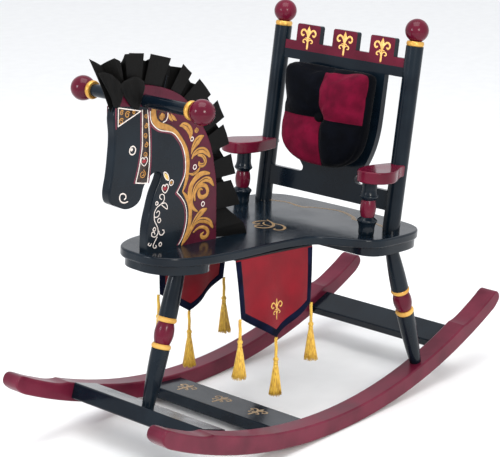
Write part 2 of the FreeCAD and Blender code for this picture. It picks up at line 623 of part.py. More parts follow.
def main():
    make_base()
    make_seat()
    make_legs()
    make_back()
    make_arms()
    make_cushion()
    make_head()
    make_flags()
    os.makedirs("parts", exist_ok=True)
    for name, shape in PARTS.items():
        shape.exportStep(f"parts/{name}.step")
        print(f"{name}: {len(shape.Solids)} solids, {shape.Volume:.0f} mm3")


main()
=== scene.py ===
# %% [markdown]
# # A rocking horse chair, from its frame to its finish
#
# The chair is painted MDF and turned hardwood, with a ribbon mane, a velvet cushion and two saddle flags that
# end in tassels. The hard parts come from a CAD frame and are never moved here: they get their finish. The
# soft parts and the painted ornament are made in this file, in metres, with X towards the nose, Y to the
# horse's left and Z up. The frame tells where everything sits.

# %% Load the frame
import json
import math
import random

import bmesh
import bpy
from mathutils import Matrix, Vector


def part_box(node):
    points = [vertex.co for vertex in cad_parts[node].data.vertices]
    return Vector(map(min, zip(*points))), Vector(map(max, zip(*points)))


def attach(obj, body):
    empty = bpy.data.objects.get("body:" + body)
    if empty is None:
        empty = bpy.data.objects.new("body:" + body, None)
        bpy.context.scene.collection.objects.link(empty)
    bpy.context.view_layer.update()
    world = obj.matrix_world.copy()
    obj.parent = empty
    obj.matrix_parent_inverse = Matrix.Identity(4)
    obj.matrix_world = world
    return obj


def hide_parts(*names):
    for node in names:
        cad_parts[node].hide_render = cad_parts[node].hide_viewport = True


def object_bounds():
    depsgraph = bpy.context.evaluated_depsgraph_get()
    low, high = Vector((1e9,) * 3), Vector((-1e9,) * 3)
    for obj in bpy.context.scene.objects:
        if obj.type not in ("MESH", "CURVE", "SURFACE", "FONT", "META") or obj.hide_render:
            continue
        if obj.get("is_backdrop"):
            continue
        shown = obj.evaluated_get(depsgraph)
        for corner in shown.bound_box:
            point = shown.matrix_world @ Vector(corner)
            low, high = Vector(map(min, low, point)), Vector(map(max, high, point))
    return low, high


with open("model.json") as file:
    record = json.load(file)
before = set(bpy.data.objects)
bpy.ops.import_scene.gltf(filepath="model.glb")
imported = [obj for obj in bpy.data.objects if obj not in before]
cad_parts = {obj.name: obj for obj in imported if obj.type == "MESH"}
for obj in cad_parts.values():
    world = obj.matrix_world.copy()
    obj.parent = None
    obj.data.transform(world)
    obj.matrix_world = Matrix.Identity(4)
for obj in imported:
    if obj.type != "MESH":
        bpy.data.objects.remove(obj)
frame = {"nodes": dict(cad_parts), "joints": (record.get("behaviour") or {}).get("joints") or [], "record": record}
CAD_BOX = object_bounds()
MM = 0.001
joints = {joint["name"]: joint for joint in frame["joints"]}
mounts = {mount["name"]: mount for mount in frame["record"]["mounts"]}

# %% [markdown]
# ## The camera
#
# A long lens from above the horse's left front keeps the planks nearly parallel, as a catalogue picture does.
# The camera could be aimed at a target with a constraint, but three angles say the same thing and leave
# nothing to evaluate, so it is turned by given angles: a heading, a tilt down and a slight roll.

# %% Camera
HEADING = math.radians(221.05)
TILT = math.radians(-16.71)
ROLL = math.radians(0.52)
LENS = 125.4                  # mm, on a frame 36 mm wide
CAMERA_PLACE = (2.158, 1.835, 1.163)
forward = Vector((math.cos(HEADING) * math.cos(TILT), math.sin(HEADING) * math.cos(TILT), math.sin(TILT)))
right = forward.cross(Vector((0, 0, 1))).normalized()
up = right.cross(forward)
right, up = right * math.cos(ROLL) + up * math.sin(ROLL), up * math.cos(ROLL) - right * math.sin(ROLL)
camera = bpy.data.objects.new("camera", bpy.data.cameras.new("camera"))
camera.data.sensor_width = 36.0
camera.data.lens = LENS
camera.matrix_world = Matrix((right, up, -forward)).transposed().to_4x4()
camera.location = CAMERA_PLACE
bpy.context.scene.collection.objects.link(camera)
bpy.context.scene.camera = camera
print("camera looks along", [round(x, 3) for x in forward])

# %% [markdown]
# ## Helpers that every step uses
#
# A mesh can be built from operators, from bmesh calls or straight from lists of points and faces. Lists are
# the easiest to reason about, so `piece` takes them, lets the piece ride on a body of the frame and gives it
# a finish. `skin` closes a body through rings of points. `node` adds one shader node with its settings and
# links, and `finish` makes the small tree that every material here has: two tones in patches, a roughness
# that follows the patches and layers of bumps.

# %% Mesh helpers
def piece(name, points, faces, body, material, smooth=True):
    """A mesh object from lists of points and faces that rides on a body of the frame."""
    mesh = bpy.data.meshes.new(name)
    mesh.from_pydata([tuple(p) for p in points], [], faces)
    mesh.update()
    if smooth:
        mesh.shade_smooth()
    else:
        mesh.shade_flat()
    made = bpy.data.objects.new(name, mesh)
    bpy.context.scene.collection.objects.link(made)
    mesh.materials.append(material)
    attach(made, body)
    return made


def skin(faces, first, size, rings):
    """Adds the faces of a closed body through rings of size points each, of which index first is the first."""
    for a in range(first, first + (rings - 1) * size):
        b = a + 1 if (a - first + 1) % size else a + 1 - size
        faces.append((a, b, b + size, a + size))
    faces.append([first + k for k in range(size)][::-1])
    faces.append([first + (rings - 1) * size + k for k in range(size)])


print("mesh helpers ready")

# %% Node and finish helpers
def node(tree, kind, inputs=None, **settings):
    """Adds a node. settings are its properties; inputs are its sockets' values, or the nodes or sockets
    that feed them, of which a node gives its first output."""
    made = tree.nodes.new(kind)
    for key, value in settings.items():
        setattr(made, key, value)
    for key, value in (inputs or {}).items():
        if isinstance(value, bpy.types.Node):
            value = value.outputs[0]
        if isinstance(value, bpy.types.NodeSocket):
            tree.links.new(value, made.inputs[key])
        else:
            made.inputs[key].default_value = value
    return made


def linear(colour):
    """An sRGB hex colour as the linear RGBA that a shader works in."""
    parts = [int(colour[i:i + 2], 16) / 255 for i in (1, 3, 5)]
    return [c / 12.92 if c <= 0.04045 else ((c + 0.055) / 1.055) ** 2.4 for c in parts] + [1.0]


def per_mm(size):
    """The Noise or Voronoi scale whose features are about size millimetres across."""
    return 1000.0 / size


def finish(name, tones, patch, rough, bumps, shader, stretch=(1, 1, 1)):
    """A material in object space. tones is a pair of hex colours that patches, patch mm across, blend, or a
    function of the tree, the place and the patches that gives the colour. rough is the roughness in the
    first and the second tone. bumps are (size, depth) in mm, or (function that gives a height, depth), from
    the coarsest to the finest. shader holds the other inputs of the principled shader."""
    made = bpy.data.materials.new(name)
    made.use_nodes = True
    tree = made.node_tree
    tree.nodes.clear()
    coordinates = node(tree, "ShaderNodeTexCoord").outputs["Object"]
    place = node(tree, "ShaderNodeMapping", {"Vector": coordinates, "Scale": stretch})
    cloud = node(tree, "ShaderNodeTexNoise", {"Vector": place, "Scale": per_mm(patch), "Detail": 4})
    patches = node(tree, "ShaderNodeMapRange", {"Value": cloud, "From Min": 0.35, "From Max": 0.65})
    if callable(tones):
        colour = tones(tree, place, patches)
    else:
        mixed = {0: patches, 6: linear(tones[0]), 7: linear(tones[1])}
        colour = node(tree, "ShaderNodeMix", mixed, data_type="RGBA").outputs[2]
    gloss = node(tree, "ShaderNodeMapRange", {"Value": patches, "To Min": rough[0], "To Max": rough[1]})
    inputs = {"Base Color": colour, "Roughness": gloss, **shader}
    for size, depth in bumps:
        if callable(size):
            grain = size(tree, place)
        else:
            grain = node(tree, "ShaderNodeTexNoise", {"Vector": place, "Scale": per_mm(size), "Detail": 2})
        layer = {"Height": grain, "Distance": depth * MM}
        if "Normal" in inputs:
            layer["Normal"] = inputs["Normal"]
        inputs["Normal"] = node(tree, "ShaderNodeBump", layer)
    principled = node(tree, "ShaderNodeBsdfPrincipled", inputs)
    node(tree, "ShaderNodeOutputMaterial", {"Surface": principled})
    return made


print("node helpers ready")

# %% [markdown]
# ## Rayon thread
#
# The tassels are rayon, a spun silky filament. It is a smooth round fibre, so each thread has a bright line
# along it and a bundle has soft streaks. A full hair shader would need real strands; here each thread is a
# thin tube, and a principled shader with a golden sheen and streaks of tone along Z is enough. The streaks
# are partly the dye that varies and partly painted sheen that stands in for the bundle's soft streaks.

# %% Rayon thread finish
DYE_AND_SHEEN_STREAK = 1.1                  # mm across a streak of tone, partly dye that took alike and partly painted sheen
FILAMENT = 0.35               # mm, drawn coarser than the real 0.05 so that it shows
# The streaks from dark amber to bright yellow along Z are partly dye and partly painted sheen of the silky fibres.
GOLD_THREAD = finish(
    "gold_rayon_thread", ("#B07C1B", "#F2CB4B"), DYE_AND_SHEEN_STREAK, (0.34, 0.5), [(FILAMENT, 0.12)],
    {"IOR": 1.53, "Specular IOR Level": 0.6, "Sheen Weight": 0.35, "Sheen Roughness": 0.4,
     "Sheen Tint": linear("#FFE08A")}, stretch=(1, 1, 0.06))
print("made", GOLD_THREAD.name)

# %% [markdown]
# ## The six tassels
#
# Each flag has a tassel at its two lower corners and at its point. A tassel is a doubled cord that springs
# back into a three-strand twist, a bound knot and a skirt of cut threads. The cord's line is a NURBS curve;
# its strands are tubes wound round the points that the curve gives. The skirt could be one ridged cone, but
# its ragged lower edge is what the eye sees, so the threads are separate tubes of slightly unequal length.

# %% Sizes, tubes and turned forms
CORD_LENGTH = 35 * MM
STRAND_R = 1.45 * MM
TWIST_TURN = 10.0 * MM
KNOT_LENGTH = 11 * MM
THREAD_R = 0.5 * MM
THREAD_TAPER = (1.0, 1.1, 1.15, 1.15, 1.1, 1.0, 0.7)
SKIRT_WIDTHS = (11.8, 10.6, 12.1, 11.0, 12.0, 10.8)
SKIRT_SEED = 40


def route_points(name, points):
    """The points that a NURBS curve through a route's control points gives."""
    curve = bpy.data.curves.new(name, "CURVE")
    curve.dimensions = "3D"
    curve.resolution_u = 12
    line = curve.splines.new("NURBS")
    line.points.add(len(points) - 1)
    for point, at in zip(line.points, points):
        point.co = (*at, 1.0)
    line.order_u = 3
    line.use_endpoint_u = True
    holder = bpy.data.objects.new(name, curve)
    mesh = bpy.data.meshes.new_from_object(holder)
    found = [v.co.copy() for v in mesh.vertices]
    bpy.data.objects.remove(holder)
    return found


def tube(points, faces, line, radius, sides=8):
    """Adds a closed tube of one radius, or a radius for each point, along a line."""
    radii = radius if isinstance(radius, (list, tuple)) else [radius] * len(line)
    first = len(points)
    along = (line[1] - line[0]).normalized()
    across = along.orthogonal().normalized()
    for k, (at, r) in enumerate(zip(line, radii)):
        along = (line[min(k + 1, len(line) - 1)] - line[max(k - 1, 0)]).normalized()
        across = (across - along * across.dot(along)).normalized()
        other = along.cross(across)
        for n in range(sides):
            turn = 2 * math.pi * n / sides
            points.append(at + (across * math.cos(turn) + other * math.sin(turn)) * r)
    skin(faces, first, sides, len(line))


def turned(points, faces, base, profile, sides=40, ripple=None):
    """Adds a surface turned about a vertical axis below base, from (radius, depth) pairs in millimetres."""
    first = len(points)
    for r, depth in profile:
        for n in range(sides):
            turn = 2 * math.pi * n / sides
            reach = (r + (ripple(turn, depth) if ripple else 0.0)) * MM
            points.append(base + Vector((reach * math.cos(turn), reach * math.sin(turn), -depth * MM)))
    for k in range(len(profile) - 1):
        for n in range(sides):
            a, b = first + k * sides + n, first + k * sides + (n + 1) % sides
            faces.append((a, a + sides, b + sides, b))
    faces.append([first + n for n in range(sides)])
    faces.append([first + (len(profile) - 1) * sides + n for n in range(sides)][::-1])


print("cord length, mm:", round(CORD_LENGTH / MM, 1))

# %% Cord, knot and skirt
def tassel_cord(name, body, route):
    """Three strands wound round the route, declared as a free cord."""
    line = route_points(name + "_route", route)
    points, faces = [], []
    steps = 30
    for strand in range(3):
        path = []
        for k in range(steps + 1):
            at = k / steps * (len(line) - 1)
            low = min(int(at), len(line) - 2)
            centre = line[low].lerp(line[low + 1], at - low)
            turn = 2 * math.pi * (strand / 3 + CORD_LENGTH * k / steps / TWIST_TURN)
            path.append(centre + Vector((math.cos(turn), math.sin(turn), 0)) * STRAND_R * 0.95)
        tube(points, faces, path, STRAND_R)
    # Three strands wound round the route.
    return piece(name, points, faces, body, GOLD_THREAD), line


def tassel_knot(name, body, top):
    """The binding at the head of the skirt: a bead of close turns of thread, and a neck."""
    outline = [(2.2, -0.8), (3.4, 0.2), (4.3, 1.6), (4.6, 3.2), (4.3, 4.8), (3.5, 6.2), (3.3, 7.6),
               (3.9, 8.8), (4.0, 10.0), (3.6, 11.2)]
    profile = []
    for (r0, d0), (r1, d1) in zip(outline, outline[1:]):
        profile += [(r0 + (r1 - r0) * t / 5, d0 + (d1 - d0) * t / 5) for t in range(5)]
    points, faces = [], []
    turned(points, faces, top, profile, ripple=lambda turn, d: 0.22 * math.sin(2 * math.pi * d / 1.3 + turn))
    return piece(name, points, faces, body, GOLD_THREAD)


def tassel_skirt(name, body, top, length, width, seed):
    """A core and a few rings of separate hanging threads that spread to width."""
    pick = random.Random(seed)
    lean = Vector((pick.uniform(-1.6, 1.6), pick.uniform(-1.6, 1.6), 0)) * MM
    points, faces = [], []
    core = [(2.6, 0), (4.0, 4), (4.6, 12), (width * 0.62, 30), (width * 0.74, length - 5)]
    turned(points, faces, top, core, 24)
    for ring, count in ((0.55, 26), (0.8, 44), (1.0, 62)):
        for n in range(count):
            turn = 2 * math.pi * (n + pick.uniform(-0.35, 0.35)) / count
            out = Vector((math.cos(turn), math.sin(turn), 0))
            side = Vector((-out.y, out.x, 0))
            reach = width * ring * pick.uniform(0.88, 1.04)
            end = length * pick.uniform(0.93, 1.0)
            sway, phase = pick.uniform(0.1, 0.5), pick.uniform(0, 6.3)
            line = []
            for k in range(7):
                t = k / 6
                r = 3.0 + 1.4 * math.sin(math.pi * min(t * 3, 1) / 2) + (reach - 4.4) * t ** 1.35
                bend = sway * math.sin(phase + 5 * t) * t
                fall = Vector((0, 0, -end * t * MM))
                line.append(top + out * r * MM + side * bend * MM + lean * t * t + fall)
            tube(points, faces, line, [THREAD_R * share for share in THREAD_TAPER], 5)
    return piece(name, points, faces, body, GOLD_THREAD)


# %% Hang the tassels
for order, node_name in enumerate(f"{side}_{at}_tassel" for side in ("left", "right")
                                  for at in ("rear", "point", "front")):
    low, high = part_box(node_name)
    top = Vector(((low.x + high.x) / 2, (low.y + high.y) / 2, high.z))
    sway = [(0.0, 0.0), (0.5, -0.3), (-0.4, 0.4), (0.3, 0.3), (0.0, 0.0)]
    route = [top + Vector((x * MM, y * MM, -CORD_LENGTH * k / 4)) for k, (x, y) in enumerate(sway)]
    cord, line = tassel_cord(node_name + "_cord", node_name, route)
    knot = tassel_knot(node_name + "_knot", node_name, route[-1])
    skirt_length = (high.z - low.z) / MM - (CORD_LENGTH + KNOT_LENGTH) / MM
    neck = route[-1] - Vector((0, 0, KNOT_LENGTH))
    skirt = tassel_skirt(node_name + "_skirt", node_name, neck, skirt_length, SKIRT_WIDTHS[order],
                         SKIRT_SEED + order)
    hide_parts(node_name)
    print(node_name, "hangs from", [round(x, 3) for x in top], "vertices", len(skirt.data.vertices))

# %% [markdown]
# ## Enamel on wood
#
# The planks are MDF and the legs turned hardwood, all sprayed with a gloss enamel: blue black on the seat,
# back and head, burgundy on the rockers, arms and balls, and a gold lacquer on the rings. Sprayed enamel is
# never quite flat. It has an orange peel a few millimetres across, a fainter wave from the sanding under it,
# and handling dulls the gloss in patches. Separate images could carry all this, but noise in object space
# needs no unwrapping and keeps its real scale. The peel is drawn a little coarser than the real one.

# %% Enamel finishes
PEEL = 3.2                    # mm between the bumps of the spray; a real coat has 1 to 2
SANDING = 22.0                # mm, the wave that sanding leaves under the coat
HANDLING = 60.0               # mm, the patches that hands have dulled
BLACK = ("#08111A", "#0F1A23")
BURGUNDY = ("#500B20", "#63122A")
GOLD = ("#C08A36", "#E2B35E")
ROCKER_RADIUS = 984.0         # mm, of the arc that rolls
SCRAPE = 9.0                  # mm across a scrape from the floor


def enamel(name, tones, gloss=(0.14, 0.27), metal=0.0):
    """Sprayed gloss enamel: a hard clear-looking surface with a faint wave and an orange peel."""
    return finish(name, tones, HANDLING, gloss, [(SANDING, 0.09), (PEEL, 0.025)], {
        "Metallic": metal, "IOR": 1.5, "Specular IOR Level": 0.16,
        "Coat Weight": 0.12, "Coat Roughness": 0.05, "Coat IOR": 1.5})


def scuffed_burgundy(tree, place, patches):
    """Burgundy that is worn pale in patches on the face that rolls, from 1.6 mm above the rolling radius."""
    sound = {0: patches, 6: linear("#541126"), 7: linear("#6C2035")}
    coat = node(tree, "ShaderNodeMix", sound, data_type="RGBA").outputs[2]
    centre = (0.0, 0.0, ROCKER_RADIUS * MM)
    flat = node(tree, "ShaderNodeVectorMath", {0: place, 1: (1, 0, 1)}, operation="MULTIPLY")
    reach = node(tree, "ShaderNodeVectorMath", {0: flat, 1: centre}, operation="DISTANCE").outputs["Value"]
    face = node(tree, "ShaderNodeMapRange", {"Value": reach, "From Min": (ROCKER_RADIUS - 1.6) * MM,
                                             "From Max": (ROCKER_RADIUS - 0.4) * MM})
    scrapes = node(tree, "ShaderNodeTexNoise", {"Vector": place, "Scale": per_mm(SCRAPE), "Detail": 6})
    bare = node(tree, "ShaderNodeMapRange", {"Value": scrapes, "From Min": 0.45, "From Max": 0.7,
                                             "To Max": 0.8})
    worn = node(tree, "ShaderNodeMath", {0: face, 1: bare}, operation="MULTIPLY")
    return node(tree, "ShaderNodeMix", {0: worn, 6: coat, 7: linear("#8C6A5C")}, data_type="RGBA").outputs[2]


ENAMEL = {
    "black": enamel("blue_black_enamel_on_wood", BLACK),
    "burgundy": enamel("burgundy_enamel_on_wood", BURGUNDY),
    "rocker": enamel("burgundy_enamel_on_rocker", scuffed_burgundy, gloss=(0.3, 0.42)),
    "gold": enamel("gold_lacquer_on_wood", GOLD, gloss=(0.26, 0.38), metal=0.45),
}
print("enamels:", sorted(ENAMEL))

# %% [markdown]
# ## Bands painted on turned wood
#
# Each leg has two gold rings and a burgundy barrel between black lengths, and each arm post has a burgundy
# bulb. The painter follows the turner's grooves, so the finish does too: the grooves' places are read from
# the leg's own mesh, as the vertices at the grooves' radius, and a colour ramp with hard steps paints the
# lengths between them. Splitting the leg into pieces would work as well but a real leg is one piece.

# %% Find the grooves
def grooves(name, axis, radius, lowest, highest):
    """Where, between two heights, a turned node has circles of the given radius, in metres along its axis."""
    points = [v.co for v in frame["nodes"][name].data.vertices]
    across = axis.cross(Vector((0, 1, 0))).normalized()
    middle = (max(p.dot(across) for p in points) + min(p.dot(across) for p in points)) / 2
    centre_y = (max(p.y for p in points) + min(p.y for p in points)) / 2
    found = []
    for p in sorted(points, key=lambda q: q.dot(axis)):
        r = math.hypot(p.dot(across) - middle, p.y - centre_y)
        fresh = lowest < p.dot(axis) < highest and (not found or p.dot(axis) - found[-1] > 1.5 * MM)
        if fresh and abs(r - radius) < 0.05 * MM:
            found.append(p.dot(axis))
    return found


SEAT_TILT = math.radians(4.4)
LEG_LEANS = {"front_leg": math.radians(-18.4), "left_rear_leg": math.radians(20),
             "right_rear_leg": math.radians(20)}
GROOVE_R = 14.0 * MM          # of the leg where a ring meets its neighbour
BULB_R = 11.0 * MM            # of the arm post at the ends of its bulb
LEG_WINDOW = (0.06, 0.15)     # metres along the axis, between which the grooves are looked for
ARM_WINDOW = (0.3, 0.45)
LEG_BANDS = (BLACK, GOLD, BURGUNDY, GOLD, BLACK)
ARM_BANDS = (BLACK, BURGUNDY, BLACK)
seat_up = Vector((-math.sin(SEAT_TILT), 0, math.cos(SEAT_TILT)))
banded_nodes = {}
for name, lean in LEG_LEANS.items():
    axis = Vector((math.sin(lean), 0, math.cos(lean)))
    banded_nodes[name] = (axis, grooves(name, axis, GROOVE_R, *LEG_WINDOW), LEG_BANDS)
for name in ("left_arm_post", "right_arm_post"):
    banded_nodes[name] = (seat_up, grooves(name, seat_up, BULB_R, *ARM_WINDOW), ARM_BANDS)
for name, (axis, marks, colours) in banded_nodes.items():
    print(name, "grooves, mm:", [round(m / MM, 1) for m in marks])

# %% Paint the bands
def banded(name, axis, marks, colours):
    """Enamel whose colour steps at each mark along the axis."""
    low, high = marks[0] - 20 * MM, marks[-1] + 20 * MM

    def tones(tree, place, patches):
        along = node(tree, "ShaderNodeVectorMath", {0: place, 1: tuple(axis)}, operation="DOT_PRODUCT")
        share = node(tree, "ShaderNodeMapRange", {
            "Value": along.outputs["Value"], "From Min": low, "From Max": high})
        sides = []
        for tone in (0, 1):
            ramp = node(tree, "ShaderNodeValToRGB", {0: share})
            ramp.color_ramp.interpolation = "CONSTANT"
            for n, pair in enumerate(colours):
                at = 0.0 if n == 0 else (marks[n - 1] - low) / (high - low)
                stop = ramp.color_ramp.elements[n] if n < 2 else ramp.color_ramp.elements.new(at)
                stop.position = at
                stop.color = linear(pair[tone])
            sides.append(ramp.outputs[0])
        mixed = {0: patches, 6: sides[0], 7: sides[1]}
        return node(tree, "ShaderNodeMix", mixed, data_type="RGBA").outputs[2]

    return enamel(name, tones, gloss=(0.18, 0.3))


def dress(names, material):
    """Gives each named node of the frame one finish."""
    for name in [names] if isinstance(names, str) else names:
        mesh = frame["nodes"][name].data
        mesh.materials.clear()
        mesh.materials.append(material)


for name, (axis, marks, colours) in banded_nodes.items():
    dress(name, banded(name + "_enamel", axis, marks, colours))
print("banded:", sorted(banded_nodes))

# %% [markdown]
# ## Two colours on the head and the back
#
# The head is black in front and burgundy behind a curved line, and the back's crest is burgundy above a
# straight one, on its faces only. The line on the head is a curve of X against Z, which a Float Curve node
# holds; the crest is a height along the leaning back and a test of which way the surface faces.

# %% The head's two colours
HEAD_LOW, HEAD_HIGH = 0.330, 0.610
FIELD_BACK, FIELD_FRONT = 0.140, 0.400
FIELD_LINE = ((0.337, 0.227), (0.357, 0.213), (0.380, 0.207), (0.404, 0.210), (0.425, 0.224), (0.444, 0.215),
              (0.468, 0.212), (0.491, 0.216), (0.513, 0.230), (0.531, 0.250), (0.541, 0.274), (0.556, 0.288),
              (0.572, 0.300), (0.579, 0.320), (0.586, 0.362), (0.592, 0.372))


def two_enamels(tree, patches, mask, base, over):
    """The over colours where the mask is 1 and the base ones where it is 0, each in its two tones."""
    coats = []
    for pair in (base, over):
        inputs = {0: patches, 6: linear(pair[0]), 7: linear(pair[1])}
        coats.append(node(tree, "ShaderNodeMix", inputs, data_type="RGBA").outputs[2])
    return node(tree, "ShaderNodeMix", {0: mask, 6: coats[0], 7: coats[1]}, data_type="RGBA").outputs[2]


def head_tones(tree, place, patches):
    """Burgundy behind the line, black in front of it."""
    at = node(tree, "ShaderNodeSeparateXYZ", {0: place})
    height = node(tree, "ShaderNodeMapRange", {"Value": at.outputs["Z"], "From Min": HEAD_LOW,
                                               "From Max": HEAD_HIGH})
    curve = node(tree, "ShaderNodeFloatCurve", {"Value": height})
    line = curve.mapping.curves[0]
    for n, (z, x) in enumerate(FIELD_LINE):
        mark = ((z - HEAD_LOW) / (HEAD_HIGH - HEAD_LOW), (x - FIELD_BACK) / (FIELD_FRONT - FIELD_BACK))
        if n in (0, len(FIELD_LINE) - 1):
            line.points[0 if n == 0 else -1].location = mark
        else:
            line.points.new(*mark)
    curve.mapping.update()
    edge = node(tree, "ShaderNodeMapRange", {"Value": curve, "To Min": FIELD_BACK, "To Max": FIELD_FRONT})
    behind = node(tree, "ShaderNodeMath", {0: at.outputs["X"], 1: edge}, operation="LESS_THAN")
    return two_enamels(tree, patches, behind, BLACK, ("#420A1E", "#541329"))


dress("head_board", enamel("two_colour_head_enamel", head_tones, gloss=(0.24, 0.36)))
print("head painted along", len(FIELD_LINE), "places")

# %% The crest, and one colour for the rest
BACK_OUT = Vector(joints["cushion_pull"]["axis"])
BACK_UP = Vector((-BACK_OUT.z, 0, BACK_OUT.x))
hinge = Vector(joints["left_flag_hinge"]["pos_m"])
SEAT_TO_HINGE = 17.8 * MM     # the seat's board, the strap under it and a gap
seat_point = hinge + seat_up * SEAT_TO_HINGE
POST_FOOT_X = -150.6 * MM
back_foot = Vector((POST_FOOT_X, 0, seat_point.z + (POST_FOOT_X - seat_point.x) * math.tan(SEAT_TILT)))
CREST_LINE = 276.5 * MM


def crest_tones(tree, place, patches):
    """Burgundy on the faces of the crest, black on its edges and below the line."""
    lift = node(tree, "ShaderNodeVectorMath", {0: place, 1: tuple(BACK_UP)}, operation="DOT_PRODUCT")
    line = {0: lift.outputs["Value"], 1: back_foot.dot(BACK_UP) + CREST_LINE}
    above = node(tree, "ShaderNodeMath", line, operation="GREATER_THAN")
    normal = node(tree, "ShaderNodeTexCoord").outputs["Normal"]
    facing = node(tree, "ShaderNodeVectorMath", {0: normal, 1: tuple(BACK_OUT)}, operation="DOT_PRODUCT")
    size = node(tree, "ShaderNodeMath", {0: facing.outputs["Value"]}, operation="ABSOLUTE")
    face = node(tree, "ShaderNodeMath", {0: size, 1: 0.8}, operation="GREATER_THAN")
    both = node(tree, "ShaderNodeMath", {0: above, 1: face}, operation="MULTIPLY")
    return two_enamels(tree, patches, both, BLACK, BURGUNDY)


dress("back_panel", enamel("two_colour_back_enamel", crest_tones))
dress(["seat_board", "front_block", "rear_block", "front_slat", "footrest", "rear_slat", "handle_bar",
       "left_back_post", "right_back_post"], ENAMEL["black"])
dress(["left_rocker", "right_rocker"], ENAMEL["rocker"])
for side in ("left", "right"):
    dress([f"{side}_armrest", f"{side}_finial", f"{side}_handle_ball"], ENAMEL["burgundy"])
    dress([f"{side}_finial_ring", f"{side}_handle_ring"], ENAMEL["gold"])
print("back starts at", [round(x, 4) for x in back_foot])

# %% [markdown]
# ## Bare beech and plated steel
#
# Dowels are cut beech, with short dark flecks along the grain. Screws are zinc plated, a dull bluish metal
# with a fine cloudy haze; the upholstery tacks are blued, so nearly black. Most are hidden until the chair is
# taken apart, but they are as finished as the rest.

# %% Hidden hardware
FLECK = 0.7                   # mm across the grain; five times that along it
HAZE = 1.6
BEECH = finish("cut_beech", ("#B98A5E", "#DDB98C"), FLECK, (0.58, 0.68), [(FLECK, 0.08)], {"IOR": 1.5},
               stretch=(1, 0.2, 1))
ZINC = finish("zinc_plated_steel", ("#8E9499", "#C2C8CC"), HAZE, (0.3, 0.45), [(HAZE, 0.02)],
              {"Metallic": 1.0})
BLUED = finish("blued_steel", ("#15171B", "#2A2D33"), HAZE, (0.35, 0.5), [(HAZE, 0.02)], {"Metallic": 1.0})
dress(["slat_dowels", "panel_dowels", "armrest_dowels"], BEECH)
dress(["seat_screws", "back_post_screws", "armrest_screws", "arm_post_screws", "head_screws"], ZINC)
dress(["mane_tacks", "strap_tacks"], BLUED)
print("hidden hardware dressed")

# %% [markdown]
# ## Painted ornament
#
# The ornament is screen printed and touched in by hand: scrolls, bands and small motifs in a thick gold and
# off-white paint that stands a little proud of the enamel. An image would need unwrapping and fixed
# resolution, so each brush stroke is its own low domed ribbon of paint laid on the surface, which keeps its
# edge sharp at any distance. A stroke is a list of (a, b) places in mm on its surface with a half width that
# swells and tapers; a `lay` function puts a place on the surface and a height above it.

# %% Strokes
def smooth_line(path, steps=5, closed=False):
    """Points of a Catmull-Rom spline through a path of tuples, whose last number may be a half width."""
    path = [Vector(p) if len(p) < 3 else Vector(p[:3]) for p in path]
    if closed:
        ends = path[-1:] + path + path[:2]
    else:
        ends = [2 * path[0] - path[1]] + path + [2 * path[-1] - path[-2]]
    line = []
    for a, b, c, d in zip(ends, ends[1:], ends[2:], ends[3:]):
        for k in range(steps):
            t = k / steps
            line.append(0.5 * (2 * b + (c - a) * t + (2 * a - 5 * b + 4 * c - d) * t ** 2
                               + (3 * b - a - 3 * c + d) * t ** 3))
    return line if closed else line + [path[-1]]


def stroke(points, faces, lay, path, half, height=0.22, closed=False):
    """Adds a domed ribbon of paint. half is one half width in mm, or one for each point of the path."""
    halves = half if hasattr(half, "__len__") else [half] * len(path)
    line = smooth_line([(*p, h) for p, h in zip(path, halves)], closed=closed)
    if not closed:
        for end, inner in ((0, 1), (-1, -2)):
            tip = line[end] - line[inner]
            tip.z = 0
            reach = max(line[end].z, 0.15) * 0.8
            cap = line[end] + tip.normalized() * reach
            cap.z = line[end].z * 0.35
            line.insert(0 if end == 0 else len(line), cap)
    start, count = len(points), len(line)
    for n, p in enumerate(line):
        before = line[(n - 1) % count if closed else max(n - 1, 0)]
        after = line[(n + 1) % count if closed else min(n + 1, count - 1)]
        along = Vector((after.x - before.x, after.y - before.y)).normalized()
        width = max(p.z, 0.12)
        for side, lift in ((-1, -0.15), (-0.8, height * 0.8), (0, height), (0.8, height * 0.8), (1, -0.15)):
            points.append(lay(p.x - along.y * width * side, p.y + along.x * width * side, lift))
    for n in range(count if closed else count - 1):
        here, there = start + 5 * n, start + 5 * ((n + 1) % count)
        faces.extend((here + k, here + (k + 1) % 5, there + (k + 1) % 5, there + k) for k in range(5))
    if not closed:
        faces.append(tuple(range(start, start + 5)))
        faces.append(tuple(range(start + 5 * (count - 1), start + 5 * count))[::-1])


def patch(points, faces, lay, outline, height=0.12):
    """Adds a flat plate of paint inside an outline."""
    start, count = len(points), len(outline)
    points.extend(lay(a, b, -0.15) for a, b in outline)
    points.extend(lay(a, b, height) for a, b in outline)
    faces.append(tuple(range(start, start + count))[::-1])
    faces.append(tuple(range(start + count, start + 2 * count)))
    for n in range(count):
        m = (n + 1) % count
        faces.append((start + n, start + m, start + count + m, start + count + n))


def ring(a, b, radius, sides=14):
    """The (a, b) places of a circle."""
    return [(a + radius * math.cos(2 * math.pi * k / sides), b + radius * math.sin(2 * math.pi * k / sides))
            for k in range(sides)]


def painted(name, points, faces, body, material, slot=None, smooth=True):
    """A piece of paint whose faces are turned outwards."""
    made = piece(name, points, faces, body, material, smooth)
    work = bmesh.new()
    work.from_mesh(made.data)
    bmesh.ops.recalc_face_normals(work, faces=work.faces)
    work.to_mesh(made.data)
    work.free()
    return made


print("strokes ready")

# %% Ornament paints
def ornament_paint(name, tones, metal=0.0, gloss=(0.38, 0.5)):
    """Screen printed enamel: a satin coat with the fine grain of the screen's mesh."""
    return finish(name, tones, 7, gloss, [(1.4, 0.02)], {"Metallic": metal, "IOR": 1.5})


